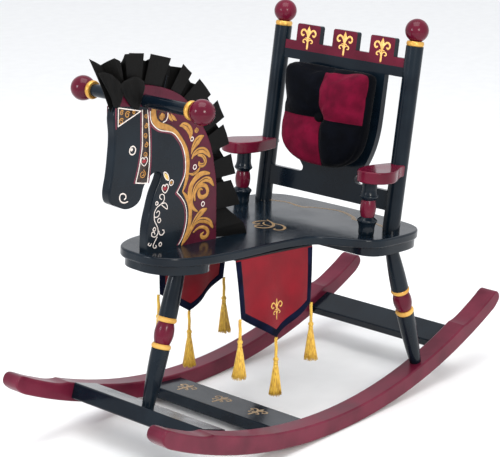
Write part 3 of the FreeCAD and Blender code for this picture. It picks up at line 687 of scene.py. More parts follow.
PAINT = {
    "gold": ornament_paint("gold_ornament_paint", ("#A9742F", "#C48E45"), metal=0.1),
    "dull": ornament_paint("dull_gold_ornament_paint", ("#9C7F5A", "#BCA17C")),
    "tan": ornament_paint("tan_ornament_paint", ("#7A6142", "#96794F")),
    "bright": ornament_paint("bright_gold_ornament_paint", ("#DDA955", "#F2C878"), metal=0.1),
    "white": ornament_paint("off_white_line_paint", ("#DCCFC6", "#F0E6DF")),
    "wine": ornament_paint("wine_outline_paint", ("#5C1529", "#742038")),
    "brown": ornament_paint("dark_brown_outline_paint", ("#1A0D09", "#2C180F")),
    "red": ornament_paint("red_ornament_paint", ("#7A1420", "#961C2B")),
}
print("ornament paints:", sorted(PAINT))

# %% [markdown]
# ## The head's ornament
#
# Both faces of the head carry the same design, mirrored: a gold ogee band along the line where the colours
# meet with a thin white line inside it, leafy scrolls on the burgundy behind, a white vine on the black in
# front, a bridle strap with gold curls, a ring for an eye and a spiral for a nostril. Strokes are grouped by
# paint, one piece of each for each side.

# %% The band, the lines and the bridle
BAND = [(227, 337), (220, 346), (213, 357), (209, 368), (207, 380), (207, 392), (210, 404), (216, 415),
        (224, 425)]
BAND_TOP = [(224, 426), (219, 434), (215, 444), (213, 456), (212, 468), (213, 480), (216, 491), (222, 502),
            (230, 513), (239, 523), (250, 531), (262, 536.5), (274, 541), (283, 547), (288, 556), (289, 567)]
BAND_TOP_WIDTH = [1.5, 3.0, 4.0, 4.2, 4.4, 4.4, 4.4, 4.4, 4.4, 4.6, 5.0, 5.4, 5.8, 6.2, 6.4, 6.2]
WHITE_TOP = [(296, 567), (296, 558), (293, 549), (287, 542), (279, 536), (270, 532), (258, 529), (248, 525.5),
             (240, 520), (233, 512), (227, 504), (222.5, 495), (219, 484), (217.5, 472), (217.8, 460),
             (220, 450), (225, 442), (231, 434), (237.5, 426.5)]
WHITE_LOW = [(237.5, 426.5), (230, 419), (224, 412), (219, 404), (216, 394), (215, 384), (216, 374),
             (218, 366), (221, 358), (225, 350), (229, 345), (234, 340)]
STRAP_LEFT = [(302, 570), (300, 555), (299, 540), (298, 520), (298, 500), (299, 485), (301, 470), (304, 455)]
STRAP_RIGHT = [(329, 460), (324, 474), (320, 487), (317, 500), (314, 515), (313.5, 535), (313, 555),
               (313, 572)]
BROW = [(316, 571), (364, 583.5), (365, 555)]
NOSTRIL = [(347, 434), (353, 433.5), (360, 436), (364, 442), (362, 448), (356, 448.5), (351, 445),
           (351, 440.5), (354, 439)]


def shifted(path, da, db=0.0):
    """The path moved by da and db."""
    return [(a + da, b + db) for a, b in path]


def curl(a, b, radius, turn=1.4, start=0.0, way=1):
    """A scroll that winds in to its own eye."""
    steps = 9
    places = []
    for k in range(steps):
        t = k / (steps - 1)
        angle = start + way * 2 * math.pi * turn * t
        reach = radius * (1 - 0.72 * t)
        places.append((a + reach * math.cos(angle), b + reach * math.sin(angle)))
    return places


def bands_and_bridle(add):
    """The head's lines. add(paint, path, half width, height, closed) lays one stroke."""
    add("brown", BAND, [2.4] + [6.0] * 7 + [2.2], 0.12)
    add("brown", BAND_TOP, [w + 1.6 for w in BAND_TOP_WIDTH], 0.12)
    add("gold", BAND, [1.6, 4.0, 4.3, 4.4, 4.4, 4.4, 4.2, 3.6, 1.4], 0.3)
    add("gold", BAND_TOP, BAND_TOP_WIDTH, 0.3)
    for line in (WHITE_TOP, WHITE_LOW):
        add("wine", shifted(line, 3.2, -1.0), 1.4, 0.16)
        add("white", line, 0.95, 0.34)
    add("wine", shifted(STRAP_LEFT, -3.4), 1.3, 0.16)
    add("wine", shifted(STRAP_RIGHT, 3.2), 1.3, 0.16)
    add("white", STRAP_LEFT, 1.0, 0.3)
    add("white", STRAP_RIGHT, 1.0, 0.3)
    add("white", [(304, 455), (312, 456.2), (320, 458), (329, 460)], 1.0, 0.3)
    for first, second in zip(BROW, BROW[1:] + BROW[:1]):
        middle = ((first[0] + second[0]) / 2, (first[1] + second[1]) / 2)
        add("white", [first, middle, second], 1.0, 0.3)
    add("wine", [(369, 584), (369.5, 569), (369, 552)], 1.4, 0.16)
    add("white", ring(335, 512.5, 6.5, 12), 1.1, 0.3, True)
    add("white", [(336.2, 514), (337.8, 514)], 2.6, 0.36)
    add("white", NOSTRIL, 1.15, 0.3)
    for a, b, radius, turn, start, way in (
            (305.5, 546, 4.2, 1.3, 1.6, 1), (307.5, 531, 4.4, 1.3, 4.4, -1), (305.5, 516, 4.4, 1.3, 1.6, 1),
            (308, 501, 4.6, 1.2, 4.4, -1), (314, 471, 7.0, 1.5, 1.9, 1), (306, 561, 3.6, 1.2, 4.4, -1)):
        add("gold", curl(a, b, radius, turn, start, way), [0.9, 0.9, 0.8, 0.8, 0.8, 0.7, 0.7, 0.7, 0.7], 0.26)
    for a, b, radius in ((345, 570, 5.5), (357, 575, 4.0), (358, 562, 5.0), (331, 571.5, 3.4)):
        add("gold", curl(a, b, radius, 1.3, 2.6, -1), [0.9, 0.9, 0.9, 0.8, 0.8, 0.8, 0.7, 0.7, 0.7], 0.26)


print("band points:", len(BAND) + len(BAND_TOP))

# %% Leaves and scrolls on the burgundy
LEAVES = [
    ([(230, 533), (222, 533), (212, 527), (206, 518), (206, 508)], [1, 4, 5.5, 5, 1.5]),
    ([(204, 483), (200, 492), (192, 500), (184, 505), (176, 507)], [0.6, 3.5, 6, 5, 1.5]),
    ([(203, 475), (198, 481), (188, 485), (176, 484), (167, 478), (161, 471)], [1, 3, 4.5, 4.5, 4, 2]),
    ([(188, 478), (178, 475), (172, 468), (172, 462), (178, 459.5), (185, 462), (186, 466)],
     [1.5, 2.5, 3, 3, 3.2, 3, 1.5]),
    ([(190, 385), (200, 393), (206, 405), (208, 418), (205, 430), (198, 438), (188, 444), (175, 446),
      (162, 443)], [1, 3, 4, 4.5, 4.5, 4, 4.5, 3.5, 2]),
    ([(203, 400), (200, 415), (193, 427), (182, 433), (170, 435), (160, 431), (152, 421)],
     [1, 2.5, 3.5, 3.5, 4, 4, 1.5]),
    ([(196, 405), (196, 416), (190, 424), (181, 427), (171, 424), (166, 416), (168, 409), (176, 406.5),
      (184, 409), (187, 416), (183, 421), (178, 419)], [1.5, 2.2, 2.5, 3, 3, 3, 3, 3.3, 3.3, 3, 2, 1]),
    ([(212, 352), (202, 364), (192, 374), (180, 382), (169, 385)], [1, 3, 4.5, 5, 2]),
    ([(206, 358), (196, 366), (184, 369), (170, 366), (160, 360), (154, 351)], [1, 2.5, 4, 4.5, 4, 2]),
    ([(200, 352), (188, 357), (176, 356), (167, 350), (165, 343), (170, 338.5), (178, 339), (181, 344),
      (176, 347)], [1, 2, 2.5, 3, 3, 3, 3, 2.5, 1]),
    ([(222, 340), (214, 347), (206, 356), (198, 362)], [1, 2.2, 2.4, 1.2]),
    ([(210, 452), (200, 449), (190, 452), (183, 458)], [0.8, 2.2, 2.2, 1]),
]


def leaves(add):
    """Gold leaves with a dark vein along each, small white rings and a ball between them."""
    for path, halves in LEAVES:
        halves = [1.22 * h for h in halves]
        add("brown", path, [h + 1.1 for h in halves], 0.1)
        add("gold", path, halves, 0.3)
        if len(path) < 9:
            vein = [(p[0] + 0.15 * h, p[1] + 0.25 * h) for p, h in zip(path[1:-1], halves[1:-1])]
            add("brown", vein, [0.5] + [0.8] * (len(vein) - 2) + [0.4], 0.36)
    add("gold", [(191, 519), (193, 519)], 4.6, 0.32)
    add("brown", curl(192, 519, 3.0, 1.0, 0.6), 0.6, 0.38)
    for a, b, radius in ((202.5, 507, 3.2), (196, 460, 3.6), (177, 395, 3.6)):
        add("white", ring(a, b, radius, 10), 0.9, 0.3, True)
    add("gold", [(269.2, 554.5), (270.8, 554.5)], 6.6, 0.34)
    add("brown", ring(270, 554.5, 8.4, 14), 1.2, 0.2, True)
    add("white", [(257, 558), (258, 551), (262, 546.5), (268, 545)], 1.0, 0.4)
    add("gold", [(238, 543), (244, 548), (250, 555)], [1, 3.2, 1], 0.3)
    add("gold", [(247, 544), (252.5, 550), (256, 557)], [1, 3.0, 1], 0.3)


# %% The white vine
VINE = [
    [(272, 422), (276, 425), (276, 429), (272, 430.5), (267, 428), (266, 422), (269, 417), (276, 414),
     (283, 411), (288, 405), (289, 398), (288, 390), (284, 383), (281, 376), (281, 369), (285, 365),
     (290, 364.5), (295, 368), (294, 373), (289, 372), (288, 369)],
    [(283, 363), (287, 358), (291, 353), (292, 349), (289, 346), (285, 347), (286, 350)],
    [(289, 398), (285, 395.5), (279, 397), (277, 402), (280, 405), (284, 403)],
    [(272, 415), (265, 415), (260, 410), (260, 404), (266, 408), (272, 413)],
    [(279, 372), (277, 366), (272, 364), (267, 367), (268, 371), (271, 372)],
    [(296, 355), (299, 352), (303, 355), (301, 357)],
]
VINE_RINGS = ((283, 418, 2.7), (278, 389, 3.4), (289, 377, 2.8), (276, 349.5, 3.0), (250, 445, 4.4))
HEART = [(264, 431), (257.5, 437), (258, 443), (262, 444.5), (264.3, 441.5), (266.5, 444.5), (270.5, 443),
         (270.5, 437)]


def vine(add):
    """White tendrils, rings, a leaf and a heart in front of the band."""
    for path in VINE:
        add("white", path, 0.85, 0.3)
    for a, b, radius in VINE_RINGS:
        add("white", ring(a, b, radius, 10), 0.9, 0.3, True)
    add("gold", [(249.4, 445), (250.6, 445)], 2.6, 0.26)
    add("red", [(262, 438.5), (266, 438.5)], 3.6, 0.2)
    add("white", HEART, 0.9, 0.3, True)
    add("bright", [(257, 451), (261, 457), (265, 463)], [1, 3.2, 0.6], 0.22)
    add("white", [(256, 450), (256.5, 457), (261, 463), (266.5, 465), (266, 459), (262, 453)], 0.8, 0.3, True)
    add("red", [(308, 491), (312, 491)], 3.4, 0.22)
    add("white", shifted(HEART, 46, 52.5), 0.7, 0.3, True)


HEAD_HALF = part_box("head_board")[1][1] / MM
for side, sign in (("left", 1), ("right", -1)):
    meshes = {paint: ([], []) for paint in PAINT}

    def on_face(x, z, height):
        """A place on this side of the head."""
        return Vector((x, sign * (HEAD_HALF + height), z)) * MM

    def add(paint, path, half, height=0.22, closed=False):
        """Lays one stroke on this side."""
        stroke(*meshes[paint], on_face, path, half, height, closed)

    bands_and_bridle(add)
    leaves(add)
    vine(add)
    patch(*meshes["brown"], on_face, STRAP_LEFT + [(304, 455), (329, 460)] + STRAP_RIGHT[1:], 0.08)
    patch(*meshes["brown"], on_face, BROW, 0.08)
    for paint, (points, faces) in meshes.items():
        if points:
            painted(f"{side}_head_{paint}_ornament", points, faces, "frame", PAINT[paint])
    print(side, "head ornament:", sum(len(p) for p, f in meshes.values()), "points")

# %% [markdown]
# ## Lilies on the crest, the footrest and the seat
#
# One stencil, a lily, is printed on three merlons of the crest and three times on the footrest. It is drawn
# once in its own mm, stem at the origin, and a turn and a shift place each copy. On the seat a tan
# line bows across behind the rider and a scroll lies in the middle.

# %% Lily stencil
SPEAR = ([(0, 0), (0, 9), (0, 16), (0, 22), (0, 28), (0, 34), (0, 40)], [2.2, 2.1, 2.1, 3.0, 5.2, 3.2, 0.2])
PETAL = ([(1, 20), (3.5, 27), (8, 32), (12.5, 32.3), (15.7, 29), (15.7, 25), (12.8, 22.5), (9.8, 23.8)],
         [1, 1.6, 1.9, 1.9, 1.9, 1.9, 2, 1.6])
SEPAL = ([(0.8, 11), (3.5, 15.3), (7.2, 16), (10.2, 13.8), (10, 11), (7.3, 10.4)],
         [0.8, 1.1, 1.4, 1.4, 1.4, 1.3])


def lily(points, faces, lay, height=0.24):
    """The stencil: a spear with a curled petal and a curled sepal on each side, and a bar across."""
    stroke(points, faces, lay, *SPEAR, height)
    stroke(points, faces, lay, [(-5, 18.5), (0, 18.5), (5, 18.5)], 1.1, height + 0.06)
    for path, halves in (PETAL, SEPAL):
        for sign in (1, -1):
            stroke(points, faces, lay, [(sign * a, b) for a, b in path], halves, height)


# %% Crest, footrest and seat
PANEL_HALF = 6.0              # mm, half the thickness of the back panel
LILY_FOOT = 280.5             # mm up the back, where each stem begins
CREST_PLACES = (-81, 0, 81)
REST_PLACES = (-98, -17, 64)
REST_FOOT = 18.0              # mm from the stem's foot to the middle of the footrest
crest_points, crest_faces = [], []
for y in CREST_PLACES:
    def on_crest(a, b, height, y=y):
        """A place on the front of the back panel, seen from the front: a is to the horse's left."""
        along = BACK_UP * (LILY_FOOT + b) + BACK_OUT * (PANEL_HALF + height)
        return back_foot + (along + Vector((0, y + a, 0))) * MM

    lily(crest_points, crest_faces, on_crest)
painted("crest_lilies", crest_points, crest_faces, "frame", PAINT["bright"], "gold_paint")

rest_point, rest_up = Vector(mounts["footrest_top"]["pos_m"]), Vector(mounts["footrest_top"]["axis"])
rest_back = Vector((-rest_up.z, 0, rest_up.x))
rest_points, rest_faces = [], []
for y in REST_PLACES:
    def on_rest(a, b, height, y=y):
        """A place on the footrest's top. The lily's tip points to the tail."""
        along = rest_back * (b - REST_FOOT) + rest_up * height
        return rest_point + (along + Vector((0, y + a, 0))) * MM

    lily(rest_points, rest_faces, on_rest)
painted("footrest_lilies", rest_points, rest_faces, "frame", PAINT["dull"], "gold_paint")

SEAT_LINE = [(-137, -138), (-143, -149), (-125, -155), (-100, -165), (-60, -158), (-45, -172), (0, -190),
             (45, -172), (60, -158), (100, -165), (125, -155), (143, -149), (137, -138)]
SEAT_SCROLL = [
    ([(-30, -28), (-18, -22), (-4, -14), (6, -2), (10, 12), (6, 24), (-4, 29), (-12, 24), (-12, 15),
      (-5, 12)], [1, 2.4, 3.4, 3.8, 3.6, 3.2, 2.8, 2.4, 2, 1.2]),
    ([(-6, -15), (8, -18), (20, -14), (30, -4), (34, 8), (30, 16), (23, 16), (21, 10)],
     [1, 2.4, 3.2, 3.2, 2.8, 2.4, 2, 1.2]),
    ([(-22, -24), (-30, -12), (-32, 2), (-26, 12), (-19, 10), (-19, 3)], [1, 2.4, 2.8, 2.4, 2, 1]),
    ([(4, 2), (-6, 4), (-15, -1), (-20, -9)], [0.8, 2, 2.2, 0.8]),
]


def on_seat(y, x, height):
    """A place on the seat's top plane: y to the left, x along the horse, height above it."""
    level = seat_point.z + (x * MM - seat_point.x) * math.tan(SEAT_TILT)
    return Vector((x * MM, y * MM, level)) + seat_up * height * MM


seat_points, seat_faces = [], []
stroke(seat_points, seat_faces, on_seat, SEAT_LINE, [1.8] + [4.2] * 11 + [1.8])
for path, halves in SEAT_SCROLL:
    stroke(seat_points, seat_faces, on_seat, path, [0.8 * half for half in halves])
painted("seat_ornament", seat_points, seat_faces, "frame", PAINT["tan"], "gold_paint")
print("stencils:", len(crest_faces) + len(rest_faces) + len(seat_faces), "faces")

# %% [markdown]
# ## Cloth and velvet
#
# The flags are a crimson plain weave bound with a dark navy velvet tape, and the cushion is velvet too. Plain
# weave is two sets of threads that pass over and under one another, so its height is the product of two
# waves; velvet is a pile, which has no threads to see but scatters light at its edges and shows darker and
# lighter patches where it is crushed. Both patterns are drawn about twice as coarse as the real 0.4 mm.

# %% Cloth finishes
THREAD_PITCH = 0.9            # mm from thread to thread, drawn coarser than the real 0.4
PILE = 0.7
CRUSH = 26.0                  # mm, the patches where the pile leans another way


def plain_weave(tree, place):
    """The height of a plain weave: one set of threads across the other."""
    waves = []
    for axis in ("X", "Z"):
        inputs = {"Vector": place, "Scale": 1000 * math.tau / (20 * THREAD_PITCH), "Distortion": 0.4}
        waves.append(node(tree, "ShaderNodeTexWave", inputs, bands_direction=axis).outputs["Fac"])
    return node(tree, "ShaderNodeMath", {0: waves[0], 1: waves[1]}, operation="MULTIPLY")


def velvet(name, tones):
    """A cut pile: no gloss, a soft bright rim and crushed patches."""
    return finish(name, tones, CRUSH, (0.85, 0.95), [(CRUSH, 0.5), (PILE, 0.25)], {
        "IOR": 1.5, "Specular IOR Level": 0.06, "Sheen Weight": 0.05, "Sheen Roughness": 0.3})


CRIMSON = ("#6C0716", "#7E0C1C")
FLAG_CLOTH = finish("crimson_plain_weave", CRIMSON, 40, (0.8, 0.9), [(30, 0.9), (plain_weave, 0.12)], {
    "IOR": 1.5, "Specular IOR Level": 0.2, "Sheen Weight": 0.1, "Sheen Roughness": 0.5})
BINDING = velvet("navy_velvet_binding", ("#05081A", "#10152C"))
WEBBING = finish("black_webbing", ("#0B0C0F", "#17181C"), 6, (0.7, 0.8), [(plain_weave, 0.2)], {"IOR": 1.5})
EMBROIDERY = finish("gold_embroidery_thread", ("#B07A24", "#E6B64C"), 1.4, (0.4, 0.5), [(0.5, 0.2)], {
    "IOR": 1.53, "Sheen Weight": 0.3}, stretch=(1, 1, 0.3))
LABEL_TAPE = finish("white_label_tape", ("#D9D5CE", "#EFECE6"), 5, (0.6, 0.7), [(plain_weave, 0.08)],
                    {"IOR": 1.5})
print("cloth finishes made")

# %% [markdown]
# ## The saddle flags
#
# A flag is a stiffened five-sided cloth tacked along its top edge under the seat, with a velvet binding on
# its other four edges, a small embroidered lily and a tassel at each lower corner. It could be dropped and
# simulated, but it is too stiff to fold: it only billows a little, so its waves are worked out, with no
# movement at the corners that carry the tassels. u runs forward along the top edge and v up, both in mm.

# %% The flag's own axes
FLAG_RUN = 183.2              # mm along the top edge
FLAG_SIDE = 96.0              # mm down to the lower corners
FLAG_POINT = 45.0             # mm further down to the point
FLAG_FLARE = math.radians(4)
flag_u = Vector(joints["left_flag_hinge"]["axis"])
flag_rise = (Vector((0, 0, 1)) - flag_u * flag_u.z).normalized()
flag_out = flag_rise.cross(flag_u)
flag_v = flag_rise * math.cos(FLAG_FLARE) - flag_out * math.sin(FLAG_FLARE)
flag_out = flag_v.cross(flag_u)
FLAG_TOP = 0.8                # mm above the hinge line, where the cloth meets the strap
FLAG_OUTLINE = [(0, -1), (3, -FLAG_SIDE), (86, -FLAG_SIDE - FLAG_POINT), (169, -FLAG_SIDE), (FLAG_RUN, -1)]


def billow(u, v):
    """How far the cloth stands out at (u, v), in mm."""
    drop = min(1.0, -v / FLAG_SIDE)
    s = (u - 3 * drop) / (FLAG_RUN - 17 * drop)
    low = min(1.25, -v / FLAG_SIDE)
    ripple = 2.6 * math.sin(4 * math.pi * s) * low
    belly = 1.4 * math.sin(2 * math.pi * s + 0.6) * math.sin(math.pi * min(low, 1))
    curl_up = 3.0 * math.exp(-((s - 0.22) / 0.12) ** 2) * max(0.0, low - 0.55)
    return ripple + belly + curl_up


def on_flag(side, u, v, out):
    """A place on the flag of a side, out mm outwards from the middle of the cloth."""
    place = hinge + (flag_u * (u - FLAG_RUN / 2) + flag_v * v + flag_out * (billow(u, v) + out)) * MM
    return Vector((place.x, place.y * side, place.z))


def flag_floor(s):
    """The v of the lower edge at a share s of the way from the rear corner to the front one."""
    return -FLAG_SIDE - FLAG_POINT * (1 - abs(2 * s - 1))


print("flag leans out:", [round(x, 3) for x in flag_out])

# %% Cloth grid and binding
def layer_faces(rows, columns):
    """The faces of a cloth whose two layers have a grid of points each, and of the rim that joins them."""
    side, faces = (rows + 1) * (columns + 1), []
    for r in range(rows):
        for c in range(columns):
            a = r * (columns + 1) + c
            quad = (a, a + 1, a + columns + 2, a + columns + 1)
            faces.append(quad)
            faces.append(tuple(side + k for k in quad[::-1]))
    rim = list(range(columns + 1)) + [r * (columns + 1) + columns for r in range(1, rows + 1)]
    rim += [rows * (columns + 1) + c for c in range(columns - 1, -1, -1)]
    rim += [r * (columns + 1) for r in range(rows - 1, 0, -1)]
    for a, b in zip(rim, rim[1:] + rim[:1]):
        faces.append((a, side + a, side + b, b))
    return faces


def thin_grid(rows, columns, lay, half):
    """A closed cloth of thickness 2 half mm: lay(row share, column share, out) gives its places."""
    points = []
    for out in (half, -half):
        points.extend(lay(r / rows, c / columns, out) for r in range(rows + 1) for c in range(columns + 1))
    return points, layer_faces(rows, columns)


BINDING_WIDTH = 11.5


def binding(side):
    """The tape folded over the edge, mitred at the corners."""
    outer = [Vector(p) for p in FLAG_OUTLINE]
    along = [(b - a).normalized() for a, b in zip(outer, outer[1:])]
    inward = [Vector((-d.y, d.x)) for d in along]
    inner = [outer[0] + Vector((BINDING_WIDTH, 0))]
    for k in range(1, len(outer) - 1):
        split = (inward[k - 1] + inward[k]).normalized()
        inner.append(outer[k] + split * BINDING_WIDTH / split.dot(inward[k]))
    inner.append(outer[-1] - Vector((BINDING_WIDTH, 0)))
    section = ((1.0, 1.0), (0.8, 1.75), (0.4, 1.9), (0.06, 1.5), (-0.05, 0.0), (0.06, -1.5), (0.4, -1.9),
               (0.8, -1.75), (1.0, -1.0))
    points, faces, rings, steps = [], [], 0, 14
    for k in range(len(outer) - 1):
        for n in range(steps + (k == len(outer) - 2)):
            t = n / steps
            edge, lip = outer[k].lerp(outer[k + 1], t), inner[k].lerp(inner[k + 1], t)
            for share, out in section:
                at = edge.lerp(lip, share)
                points.append(on_flag(side, at.x, at.y, out))
            rings += 1
    skin(faces, 0, len(section), rings)
    return points, faces


print("binding width, mm:", BINDING_WIDTH)

# %% The two flags
LILY_AT = (86, -110)
CLOTH_HALF = 0.8              # mm, half the thickness of the lined cloth and of the webbing
for name, side in (("left", 1), ("right", -1)):
    def on_cloth(t, s, out, side=side):
        """A place on the cloth from its shares down and along."""
        low = flag_floor(s) + 1.5
        u = (1 - t) * FLAG_RUN * s + t * (3 + 166 * s)
        return on_flag(side, u, (1 - t) * FLAG_TOP + t * low, out)

    body = f"{name}_flag"
    points, faces = thin_grid(30, 40, on_cloth, CLOTH_HALF)
    cloth = painted(f"{name}_flag_cloth", points, faces, body, FLAG_CLOTH, "flag_cloth")
    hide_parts(body)
    edge = painted(f"{name}_flag_binding", *binding(side), body, BINDING, "flag_cloth")
    points, faces = [], []

    def on_lily(a, b, height, side=side):
        """A place on the outside of the cloth, from the lily's own mm."""
        return on_flag(side, LILY_AT[0] + a, LILY_AT[1] + b, CLOTH_HALF + height)

    for path, halves in (SPEAR, PETAL, SEPAL):
        for sign in (1,) if path is SPEAR[0] else (1, -1):
            shrunk = [(sign * a * 0.9, b * 0.86) for a, b in path]
            stroke(points, faces, on_lily, shrunk, [0.5 * h + 0.22 for h in halves], 0.7)
    stroke(points, faces, on_lily, [(-5, 16), (0, 16), (5, 16)], 0.9, 0.8)
    sewn = painted(f"{name}_flag_lily", points, faces, body, EMBROIDERY, "gold_paint")
    print(name, "flag:", len(cloth.data.vertices), "points in the cloth")


# %% The care label
def on_label(t, s, out):
    """A place on the care label, inside the right flag. It stands off a little at its loose lower edge."""
    return on_flag(-1, 32 + 15 * s, -26 - 11 * t, -1.9 - 0.5 * t * t + out)


label = painted("sewn_label_tape", *thin_grid(6, 6, on_label, 0.25), "right_flag", LABEL_TAPE, "label_tape")
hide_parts("sewn_label")
print("label:", len(label.data.vertices), "points")

# %% [markdown]
# ## The saddle strap and the cushion's pads
#
# A wide black webbing runs under the seat from flag to flag, tacked at both ends. Two pairs of square
# hook-and-loop pads hold the cushion: woven tape whose face is a field of tiny stiff hooks, or of soft loops.
# A bump map would do from afar, but the pads are looked at closely once the cushion is off, so the hooks and
# loops are little tubes, drawn four times as coarse as real ones.

# %% Webbing
STRAP_LOW = -16.0             # mm below the seat's top: its 15 mm board and half the webbing


def on_strap(t, s, out):
    """A place on the webbing: t from the left end to the right one, s from rear to front."""
    sag = 0.025 * math.cos(14 * math.pi * t)
    return on_seat((92 - 8 * s) * (1 - 2 * t), -3 + 183 * s, STRAP_LOW + sag + out)


strap_grid = thin_grid(44, 24, on_strap, CLOTH_HALF)
strap = painted("saddle_strap_webbing", *strap_grid, "frame", WEBBING, "flag_cloth")
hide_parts("saddle_strap")
print("strap:", len(strap.data.vertices), "points")

# %% Hook and loop pads
NYLON = finish("black_hook_and_loop_nylon", ("#0C0D10", "#1D1F24"), 3, (0.5, 0.65), [(plain_weave, 0.15)],
               {"IOR": 1.53})
PAD = 42.0                    # mm along each side of a pad
PAD_DEPTH = 1.5
HOOK_PITCH = 2.6              # mm from hook to hook
HOOK = ((0, 0), (0.8, 0.05), (1.0, 0.35), (0.8, 0.6))
LOOP = ((0, 0), (0.75, 0.1), (1.0, 0.55), (0.75, 1.0), (0, 1.1))


def back_place(n, y, s):
    """A place on the leaning back: n in front of the panel's middle, y to the left, s up it, all in mm."""
    return back_foot + (BACK_OUT * n + BACK_UP * s) * MM + Vector((0, y * MM, 0))


def pad(name, node_name, body, start, face, middle, looped):
    """One square of tape from n = start towards face (1 or -1), with its field of hooks or loops."""
    def on_tape(t, s, out):
        """A place on the woven tape; out is plus or minus 0.3."""
        return back_place(start + face * (0.35 + out), PAD * (s - 0.5), middle + PAD * (t - 0.5))

    points, faces = thin_grid(4, 4, on_tape, 0.3)
    count = int((PAD - 3) / HOOK_PITCH)
    arc, reach = (LOOP, 0.9) if looped else (HOOK, 0.675)
    for row in range(count):
        for column in range(count):
            y = (column - (count - 1) / 2) * HOOK_PITCH
            s = middle + (row - (count - 1) / 2 + 0.25 * (column % 2)) * HOOK_PITCH
            begin = len(points)
            for height, lean in arc:
                for turn in range(3):
                    angle = math.tau * turn / 3
                    thick = 0.1 * math.cos(angle)
                    points.append(back_place(start + face * (0.5 + height * reach + thick),
                                             y + 0.14 * math.sin(angle), s + lean + thick))
            skin(faces, begin, 3, len(arc))
    made = painted(name, points, faces, body, NYLON, "hook_and_loop")
    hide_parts(node_name)
    return made


PANEL_FRONT = 6.0
CUSHION_MIDDLE = 173.5
for where, middle in (("upper", CUSHION_MIDDLE + 42), ("lower", CUSHION_MIDDLE - 42)):
    pad(f"{where}_hook_pad", "hook_pads", "frame", PANEL_FRONT, 1, middle, False)
    pad(f"{where}_loop_pad", "loop_pads", "cushion", PANEL_FRONT + 2 * PAD_DEPTH, -1, middle, True)
print("strap and four pads made")

# %% [markdown]
# ## The shield cushion
#
# The cushion is a stuffed shield in black velvet whose front is quartered in crimson and black, drawn in by
# a covered button. A pillow like this gets its shape from its stuffing, so the form is found by cloth
# simulation: a closed shield, a little small, is remeshed and blown up with air pressure, with its back held
# where it lies on the pads. The seams and the button's pull are then pressed in, because the remesh would
# have erased anything narrower than a voxel.

# %% The shield before it is stuffed
SHIELD = ((0.0, 0.965), (0.45, 0.965), (0.8, 0.985), (0.95, 0.96), (1.0, 0.84), (0.985, 0.45), (0.97, 0.0),
          (0.94, -0.42), (0.8, -0.75), (0.46, -0.96), (0.0, -1.0))
HALF_WIDE, HALF_HIGH = 89.0, 85.5
SLACK = -1.0                  # mm that the cover starts inside the shield, which the remesh shrinks
CUSHION_BACK, CUSHION_FRONT = 9.0, 59.0
VOXEL = 5 * MM


def shield_ring(inset, n):
    """One ring of the shield, inset mm inside its outline, n in front of the panel's middle."""
    half = [(y, s) for y, s in SHIELD]
    outline = smooth_line(half + [(-y, s) for y, s in half[-2:0:-1]], steps=4, closed=True)
    wide, high = HALF_WIDE - inset, HALF_HIGH - inset
    return [back_place(n, p.x * wide, CUSHION_MIDDLE + p.y * high) for p in outline]


def lofted(rings):
    """The points and faces of a closed body through rings of equal length."""
    points = [p for ring_points in rings for p in ring_points]
    faces = []
    skin(faces, 0, len(rings[0]), len(rings))
    return points, faces


sections = ((24, CUSHION_BACK), (8, CUSHION_BACK + 1.5), (1, 17), (SLACK, 30), (SLACK + 1, 44), (6, 53),
            (22, CUSHION_FRONT - 2))
cover_points, cover_faces = lofted([shield_ring(inset, n) for inset, n in sections])
print("cover before stuffing:", len(cover_points), "points")

# %% Velvet in quarters
QUARTER_LEVEL = 170.0
SEAM_TOP, SEAM_FOOT = (-5.0, 259.0), (12.0, 88.0)
FRONT_EDGE = 40.0


def seam_at(s):
    """Where the upright seam crosses the height s."""
    return SEAM_TOP[0] + (SEAM_FOOT[0] - SEAM_TOP[0]) * (SEAM_TOP[1] - s) / (SEAM_TOP[1] - SEAM_FOOT[1])


def quartered(tree, place, patches):
    """Crimson in two opposite quarters of the front, black everywhere else."""
    sloped = BACK_UP * ((SEAM_TOP[0] - SEAM_FOOT[0]) / (SEAM_TOP[1] - SEAM_FOOT[1]))
    beside = Vector((0, 1, 0)) - sloped
    tests = ((BACK_UP, back_foot.dot(BACK_UP) + QUARTER_LEVEL * MM),
             (beside, beside.dot(back_foot) + seam_at(0) * MM),
             (BACK_OUT, back_foot.dot(BACK_OUT) + FRONT_EDGE * MM))
    sides = []
    for axis, level in tests:
        along = node(tree, "ShaderNodeVectorMath", {0: place, 1: tuple(axis)}, operation="DOT_PRODUCT")
        inputs = {0: along.outputs["Value"], 1: level}
        sides.append(node(tree, "ShaderNodeMath", inputs, operation="GREATER_THAN"))
    unlike = node(tree, "ShaderNodeMath", {0: sides[0], 1: sides[1]}, operation="SUBTRACT")
    size = node(tree, "ShaderNodeMath", {0: unlike}, operation="ABSOLUTE")
    alike = node(tree, "ShaderNodeMath", {0: 1.0, 1: size}, operation="SUBTRACT")
    crimson = node(tree, "ShaderNodeMath", {0: alike, 1: sides[2]}, operation="MULTIPLY")
    return two_enamels(tree, patches, crimson, ("#020307", "#06080F"), ("#500A20", "#6A0E2A"))


CUSHION_VELVET = velvet("quartered_velvet", quartered)
print("made", CUSHION_VELVET.name)

# %% Stuffing
SWELL_LIMIT = 8 * MM          # the furthest that the stuffing pushes the cover
FRAMES = 20
HELD_DEPTH = 13 * MM          # in front of the panel's middle, up to which the cover lies on the pads


def changed_by(made):
    """Replaces an object's mesh by what its modifiers make of it, and drops them."""
    bpy.context.view_layer.update()
    depsgraph = bpy.context.evaluated_depsgraph_get()
    mesh = bpy.data.meshes.new_from_object(made.evaluated_get(depsgraph))
    made.modifiers.clear()
    old, made.data = made.data, mesh
    bpy.data.meshes.remove(old)


